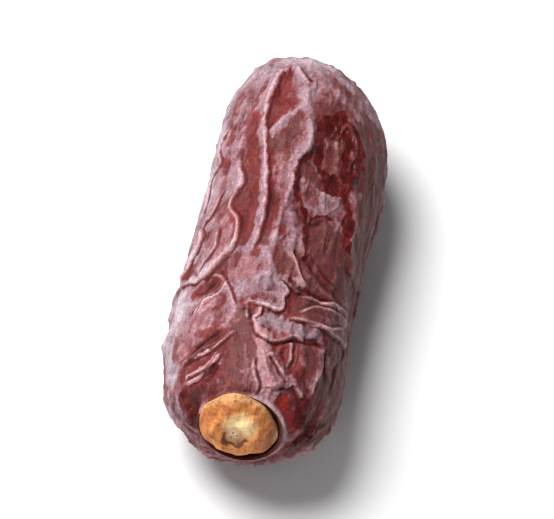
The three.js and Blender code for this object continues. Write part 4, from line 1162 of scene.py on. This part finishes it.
# %% Noise of several sizes, and the attributes
skin_finish, tree, shader = new_material("date_skin")
where = add_node(tree, "ShaderNodeTexCoord").outputs["Object"]
cloud = noise(tree, where, 260, 4, 0.6, 0.4)
mottle = noise(tree, where, 1100, 4, 0.65)
speckle = noise(tree, where, 3200, 3, 0.6)
drawn_out = add_node(tree, "ShaderNodeMapping", {"Vector": where, "Scale": (1.0, 0.32, 1.0)}).outputs[0]
streaks = noise(tree, drawn_out, 900, 5, 0.6, 0.8)
bend = add_node(tree, "ShaderNodeTexNoise", {"Vector": drawn_out, "Scale": 420.0,
                "Detail": 3.0}).outputs["Color"]
bent = calculate_vector(tree, "ADD", drawn_out, calculate_vector(tree, "SCALE", bend, 0.0022))
veins = add_node(tree, "ShaderNodeTexVoronoi", {"Vector": bent, "Scale": 620.0, "Detail": 1.0,
                 "Roughness": 0.5}, feature="DISTANCE_TO_EDGE").outputs["Distance"]
vein = product(tree, spread(tree, veins, 0.0, 0.14, 1.0, 0.0), spread(tree, cloud, 0.36, 0.6))
bloom, pinkness, frost, wet, brown, glow = (attribute(tree, name) for name in FINISH_PARTS)
stands, low, crest, wrinkle, crack_and_socket_shade, seam_and_crease_shade, edge = (attribute(tree, name) for name in (
    "stands_up", "lies_low", "thin_crest", "wrinkle", "crack_and_socket_shade", "seam_and_crease_shade", "edge"))
print("date_skin:", len(tree.nodes), "nodes of noise and attributes")

# %% The skin's colour: bare skin, and wet hollows
base = mix(tree, spread(tree, cloud, 0.36, 0.64), WINE_DARK, WINE)
base = mix(tree, spread(tree, brown, 0.2, 0.8), base, BROWN)
base = mix(tree, spread(tree, mottle, 0.5, 0.66, 0.0, 0.22), base, AMBER)

wetness = total(tree, wet, (low, 0.22), (stands, -0.12), spread(tree, cloud, 0.3, 0.7, -0.2, 0.2))
wetness = spread(tree, wetness, 0.25, 0.7)
glowing = calculate(tree, "ADD", spread(tree, mottle, 0.4, 0.66, 0.0, 0.35), glow, clamp=True)
base = mix(tree, wetness, base, mix(tree, glowing, OXBLOOD, RED_GLOW))
print("date_skin:", len(tree.nodes), "nodes with the bare skin")

# %% The bloom: thick where the skin stands up, thin in hollows and seams
waxiness = total(
    tree, bloom, (stands, 0.2), (low, -0.6), (wrinkle, 0.15), spread(tree, cloud, 0.3, 0.7, -0.12, 0.12),
    spread(tree, mottle, 0.3, 0.7, -0.12, 0.12), spread(tree, streaks, 0.3, 0.7, -0.26, 0.2),
    (vein, 0.16), (wetness, -0.8), (seam_and_crease_shade, -0.9))
waxiness = spread(tree, waxiness, 0.12, 1.02)
rosy = calculate(tree, "ADD", pinkness, spread(tree, mottle, 0.3, 0.7, -0.2, 0.2), clamp=True)
wax_colour = mix(tree, rosy, LILAC, ROSE)
frosted = product(tree, frost, spread(tree, cloud, 0.34, 0.62, 0.1, 0.85))
wax_colour = mix(tree, frosted, wax_colour, FROST)
base = mix(tree, product(tree, waxiness, 0.92), base, wax_colour)
print("date_skin:", len(tree.nodes), "nodes with the bloom")

# %% Pale crests and plate edges, partly painted highlight; dark seams, partly painted shade; cracks, specks and painted shade in low places
# pale crests and plate edges: partly the skin's own worn pale colour, partly painted highlight
pale = calculate(tree, "MULTIPLY", crest, calculate(tree, "ADD", stands, 0.1), clamp=True)
pale = product(tree, pale, spread(tree, cloud, 0.38, 0.62, 0.3, 0.85),
               spread(tree, mottle, 0.36, 0.56, 0.45, 1.0), spread(tree, bloom, 0.0, 0.7, 0.3, 0.7))
pale_edge = product(tree, edge, spread(tree, mottle, 0.36, 0.56, 0.3, 0.8))
pale = calculate(tree, "MAXIMUM", pale, pale_edge)
pale = product(tree, pale, spread(tree, wetness, 0.0, 0.8, 1.0, 0.15))
base = mix(tree, pale, base, PALE_CREST)
# dark red seams at the foot of steep steps: partly the skin's own dark red, partly painted shade in the
# crease
base = mix(tree, product(tree, seam_and_crease_shade, spread(tree, cloud, 0.36, 0.6, 0.45, 0.9)), base, SEAM)
base = mix(tree, product(tree, crack_and_socket_shade, 0.8), base, CRACK)
specks = product(tree, spread(tree, speckle, 0.58, 0.72, 0.0, 0.35), waxiness)
base = mix(tree, specks, base, PALE_CREST)
# painted shade: darker where the skin lies low, a little lighter where it stands up; the flecks are
# multiplied by it
painted_relief_shade = product(tree, spread(tree, low, 0.0, 1.0, 1.0, 0.6), spread(tree, stands, 0.0, 1.0, 0.95, 1.08))
fleck = product(tree, spread(tree, speckle, 0.3, 0.7, 0.74, 1.18), painted_relief_shade)
fleck_colour = add_node(tree, "ShaderNodeCombineColor", {0: fleck, 1: fleck, 2: fleck}).outputs[0]
base = mix(tree, 1.0, base, fleck_colour, "MULTIPLY")
tree.links.new(base, shader.inputs["Base Color"])
print("date_skin:", len(tree.nodes), "nodes with the whole colour")

# %% The skin's gloss and its finest grain
rough = total(tree, spread(tree, waxiness, 0.0, 1.0, 0.5, 0.7), (wetness, -0.15),
              spread(tree, mottle, 0.3, 0.7, -0.07, 0.07))
tree.links.new(rough, shader.inputs["Roughness"])
pores = add_node(tree, "ShaderNodeTexVoronoi", {"Vector": where, "Scale": 2300.0},
                 feature="DISTANCE_TO_EDGE").outputs["Distance"]
crinkle = spread(tree, pores, 0.0, 0.25, 1.0, 0.0)
grain_height = total(tree, (crinkle, 0.4), mottle, (vein, 1.3), (streaks, 2.0))
bump = add_node(tree, "ShaderNodeBump", {"Height": grain_height, "Strength": 0.55, "Distance": 0.00009})
tree.links.new(bump.outputs[0], shader.inputs["Normal"])
shader.inputs["Subsurface Weight"].default_value = 0.12
shader.inputs["Subsurface Radius"].default_value = (1.0, 0.28, 0.2)
shader.inputs["Subsurface Scale"].default_value = 0.0009
shader.inputs["Specular IOR Level"].default_value = 0.15
tree.links.new(product(tree, wetness, 0.2), shader.inputs["Coat Weight"])
shader.inputs["Coat Roughness"].default_value = 0.22
print("date_skin:", len(tree.nodes), "nodes in all")

# %% [markdown]
# ## The calyx's material
#
# Dry woody tissue: golden tan, with a painted highlight above the scar, brown where it broke,
# and painted shade on its side down in the socket. Its own attributes say how far out a point
# lies and on which side, so the brown arcs sit where they do on the fruit. It is matt, and its
# bump is coarser than the skin's.

# %% Colours of the calyx
GOLD = (0.72, 0.275, 0.058)
DEEP_GOLD = (0.4, 0.112, 0.024)
STRAW = (1.0, 0.72, 0.36)
BURNT_BROWN_AND_SHADE = (0.13, 0.034, 0.012)
ASH = (0.62, 0.44, 0.28)

# %% The calyx's colour
calyx_finish, tree, shader = new_material("dry_calyx")
where = add_node(tree, "ShaderNodeTexCoord").outputs["Object"]
cloud = noise(tree, where, 700, 4, 0.6, 0.6)
grains = noise(tree, where, 2600, 4, 0.65)
out, right, up, rise = (attribute(tree, name) for name in
                        ("from_middle", "to_the_right", "upwards", "out_of_socket"))
base = mix(tree, spread(tree, cloud, 0.35, 0.65), DEEP_GOLD, GOLD)
# painted highlight: paler above the scar
across, above = total(tree, right, -0.1), total(tree, up, -0.36)
from_painted_highlight = total(tree, calculate(tree, "POWER", across, 2.0), calculate(tree, "POWER", above, 2.0),
                  spread(tree, grains, 0.3, 0.7, -0.05, 0.05))
base = mix(tree, product(tree, spread(tree, from_painted_highlight, 0.32, 0.02), 0.95), base, STRAW)
# a burnt arc under the scar, and a burnt piece at the right
ragged_out = total(tree, out, spread(tree, cloud, 0.3, 0.7, -0.06, 0.06))
ring = product(tree, spread(tree, ragged_out, 0.25, 0.28), spread(tree, ragged_out, 0.39, 0.34))
below = spread(tree, total(tree, (right, 0.15), up), 0.03, -0.06)
base = mix(tree, product(tree, ring, below), base, BURNT_BROWN_AND_SHADE)
broken = product(tree, spread(tree, right, 0.75, 0.95), spread(tree, cloud, 0.4, 0.55, 0.2, 0.95))
base = mix(tree, broken, base, BURNT_BROWN_AND_SHADE)
# browner outwards, an ash-grey scar, a straw-coloured brim, and painted shade on the side down in the
# socket
outer_brown = product(tree, spread(tree, out, 0.6, 1.0), spread(tree, cloud, 0.42, 0.58), 0.6)
base = mix(tree, outer_brown, base, DEEP_GOLD)
base = mix(tree, product(tree, spread(tree, ragged_out, 0.25, 0.2), 0.6), base, ASH)
brim = product(tree, spread(tree, out, 0.98, 1.14), spread(tree, grains, 0.35, 0.6, 0.4, 1.0), 0.3)
base = mix(tree, brim, base, STRAW)
# painted shade: darker brown the deeper the calyx sits in the socket
base = mix(tree, spread(tree, rise, 0.42, 0.2), base, BURNT_BROWN_AND_SHADE)
fleck = spread(tree, grains, 0.3, 0.7, 0.8, 1.14)
fleck_colour = add_node(tree, "ShaderNodeCombineColor", {0: fleck, 1: fleck, 2: fleck}).outputs[0]
base = mix(tree, 1.0, base, fleck_colour, "MULTIPLY")
tree.links.new(base, shader.inputs["Base Color"])
print("dry_calyx:", len(tree.nodes), "nodes with the colour")

# %% The calyx's dull finish
tree.links.new(spread(tree, grains, 0.3, 0.7, 0.5, 0.8), shader.inputs["Roughness"])
bump = add_node(tree, "ShaderNodeBump", {"Height": total(tree, grains, cloud), "Strength": 0.6,
                "Distance": 0.00014})
tree.links.new(bump.outputs[0], shader.inputs["Normal"])
shader.inputs["Subsurface Weight"].default_value = 0.15
shader.inputs["Subsurface Radius"].default_value = (1.0, 0.5, 0.2)
shader.inputs["Subsurface Scale"].default_value = 0.0006
print("dry_calyx:", len(tree.nodes), "nodes in all")

# %% Run the trees
run_tree(fruit_skin, wrinkles, wrinkle_inputs, {
    "Cell size": 0.0021, "Stretch": 2.0, "Height": 0.0002, "Bend": 1.1, "Seed": 3.0,
    "Material": skin_finish})
print("fruit_skin:", len(fruit_skin.data.polygons), "faces after the wrinkles")

calyx_button.data.materials.append(calyx_finish)
scar_disc = bpy.data.objects.new("scar_fibres", bpy.data.meshes.new("scar_fibres"))
DISC_CORNERS, DISC_RADIUS = 24, 0.5
disc_middle = scar_middle + stem_out * (CALYX_HEIGHT - 0.26)
disc = [disc_middle + DISC_RADIUS * (stem_right * sin(turn) + stem_up * cos(turn))
        for turn in 2 * pi * np.arange(DISC_CORNERS) / DISC_CORNERS]
outline = tuple(reversed(range(DISC_CORNERS)))
scar_disc.data.from_pydata((np.array(disc) * TO_METRES).tolist(), [], [outline])
bpy.context.scene.collection.objects.link(scar_disc)
run_tree(scar_disc, fibre_ends, fibre_inputs, {
    "Density": 6.0e6, "Length": 0.00012, "Thickness": 0.00012, "Seed": 5, "Material": calyx_finish})
print("scar_fibres:", len(scar_disc.data.polygons), "faces")

# %% Each piece stands for a solid, which is hidden, and rides on the body
for piece, node_name, slot_name in ((fruit_skin, "fruit", "skin"), (calyx_button, "calyx", "calyx")):
    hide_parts(node_name)
    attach(piece, "root")
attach(scar_disc, "root")

# %% [markdown]
# ## Floor, light and camera
#
# The date lies on a plain pale floor. One large soft lamp stands at the upper left, as in the
# photograph, so folds are lit on their left and shaded on their right; a weak one opens the
# shadows. The camera looks down on the stem end from 60 degrees, a little rolled, through a
# long lens, because a near camera would swell the end that is closer.

# %% The floor
bpy.ops.mesh.primitive_grid_add(x_subdivisions=8, y_subdivisions=8, size=3.0, location=(0, 0, -0.00005))
floor = bpy.context.object
floor.name = "floor"
paper, tree, shader = new_material("pale_floor")
where = add_node(tree, "ShaderNodeTexCoord").outputs["Object"]
tone = mix(tree, noise(tree, where, 30, 3), (0.80, 0.80, 0.80), (0.84, 0.84, 0.835))
tree.links.new(tone, shader.inputs["Base Color"])
shader.inputs["Roughness"].default_value = 0.8
floor.data.materials.append(paper)

# %% The lights
def soft_lamp(name, place, target, size, power):
    lamp = bpy.data.objects.new(name, bpy.data.lights.new(name, "AREA"))
    lamp.data.shape = "DISK"
    lamp.data.size = size
    lamp.data.energy = power
    lamp.location = place
    direction = Vector(target) - Vector(place)
    lamp.rotation_euler = direction.to_track_quat("-Z", "Y").to_euler()
    bpy.context.scene.collection.objects.link(lamp)


soft_lamp("window", (-0.17, 0.07, 0.33), (0, 0, 0.01), 0.26, 2.5)
soft_lamp("fill", (-0.12, -0.4, 0.2), (0, 0, 0.01), 0.3, 0.5)
world = bpy.data.worlds.new("studio")
bpy.context.scene.world = world
world.use_nodes = True
background = world.node_tree.nodes["Background"]
background.inputs["Color"].default_value = (0.95, 0.97, 1.0, 1)
background.inputs["Strength"].default_value = 0.18
bpy.context.scene.view_settings.view_transform = "Standard"

# %% The camera, at the photograph's angle
ELEVATION, ROLL, LENS, DISTANCE = radians(60), radians(11), 400.0, 0.71
back = Vector((0, -cos(ELEVATION), sin(ELEVATION)))
level_right = Vector((1, 0, 0))
level_up = back.cross(level_right)
camera_right = level_right * cos(ROLL) + level_up * sin(ROLL)
camera_up = level_up * cos(ROLL) - level_right * sin(ROLL)
camera = bpy.data.objects.new("camera", bpy.data.cameras.new("camera"))
camera.data.lens = LENS
camera.data.clip_start = 0.01
axes = Matrix((camera_right, camera_up, back)).transposed()
target = Vector((0.0, 0.0004, 0.0095))
camera.matrix_world = Matrix.LocRotScale(target + back * DISTANCE, axes.to_quaternion(), None)
bpy.context.scene.collection.objects.link(camera)
bpy.context.scene.camera = camera
print("camera at", [round(v, 3) for v in camera.location])
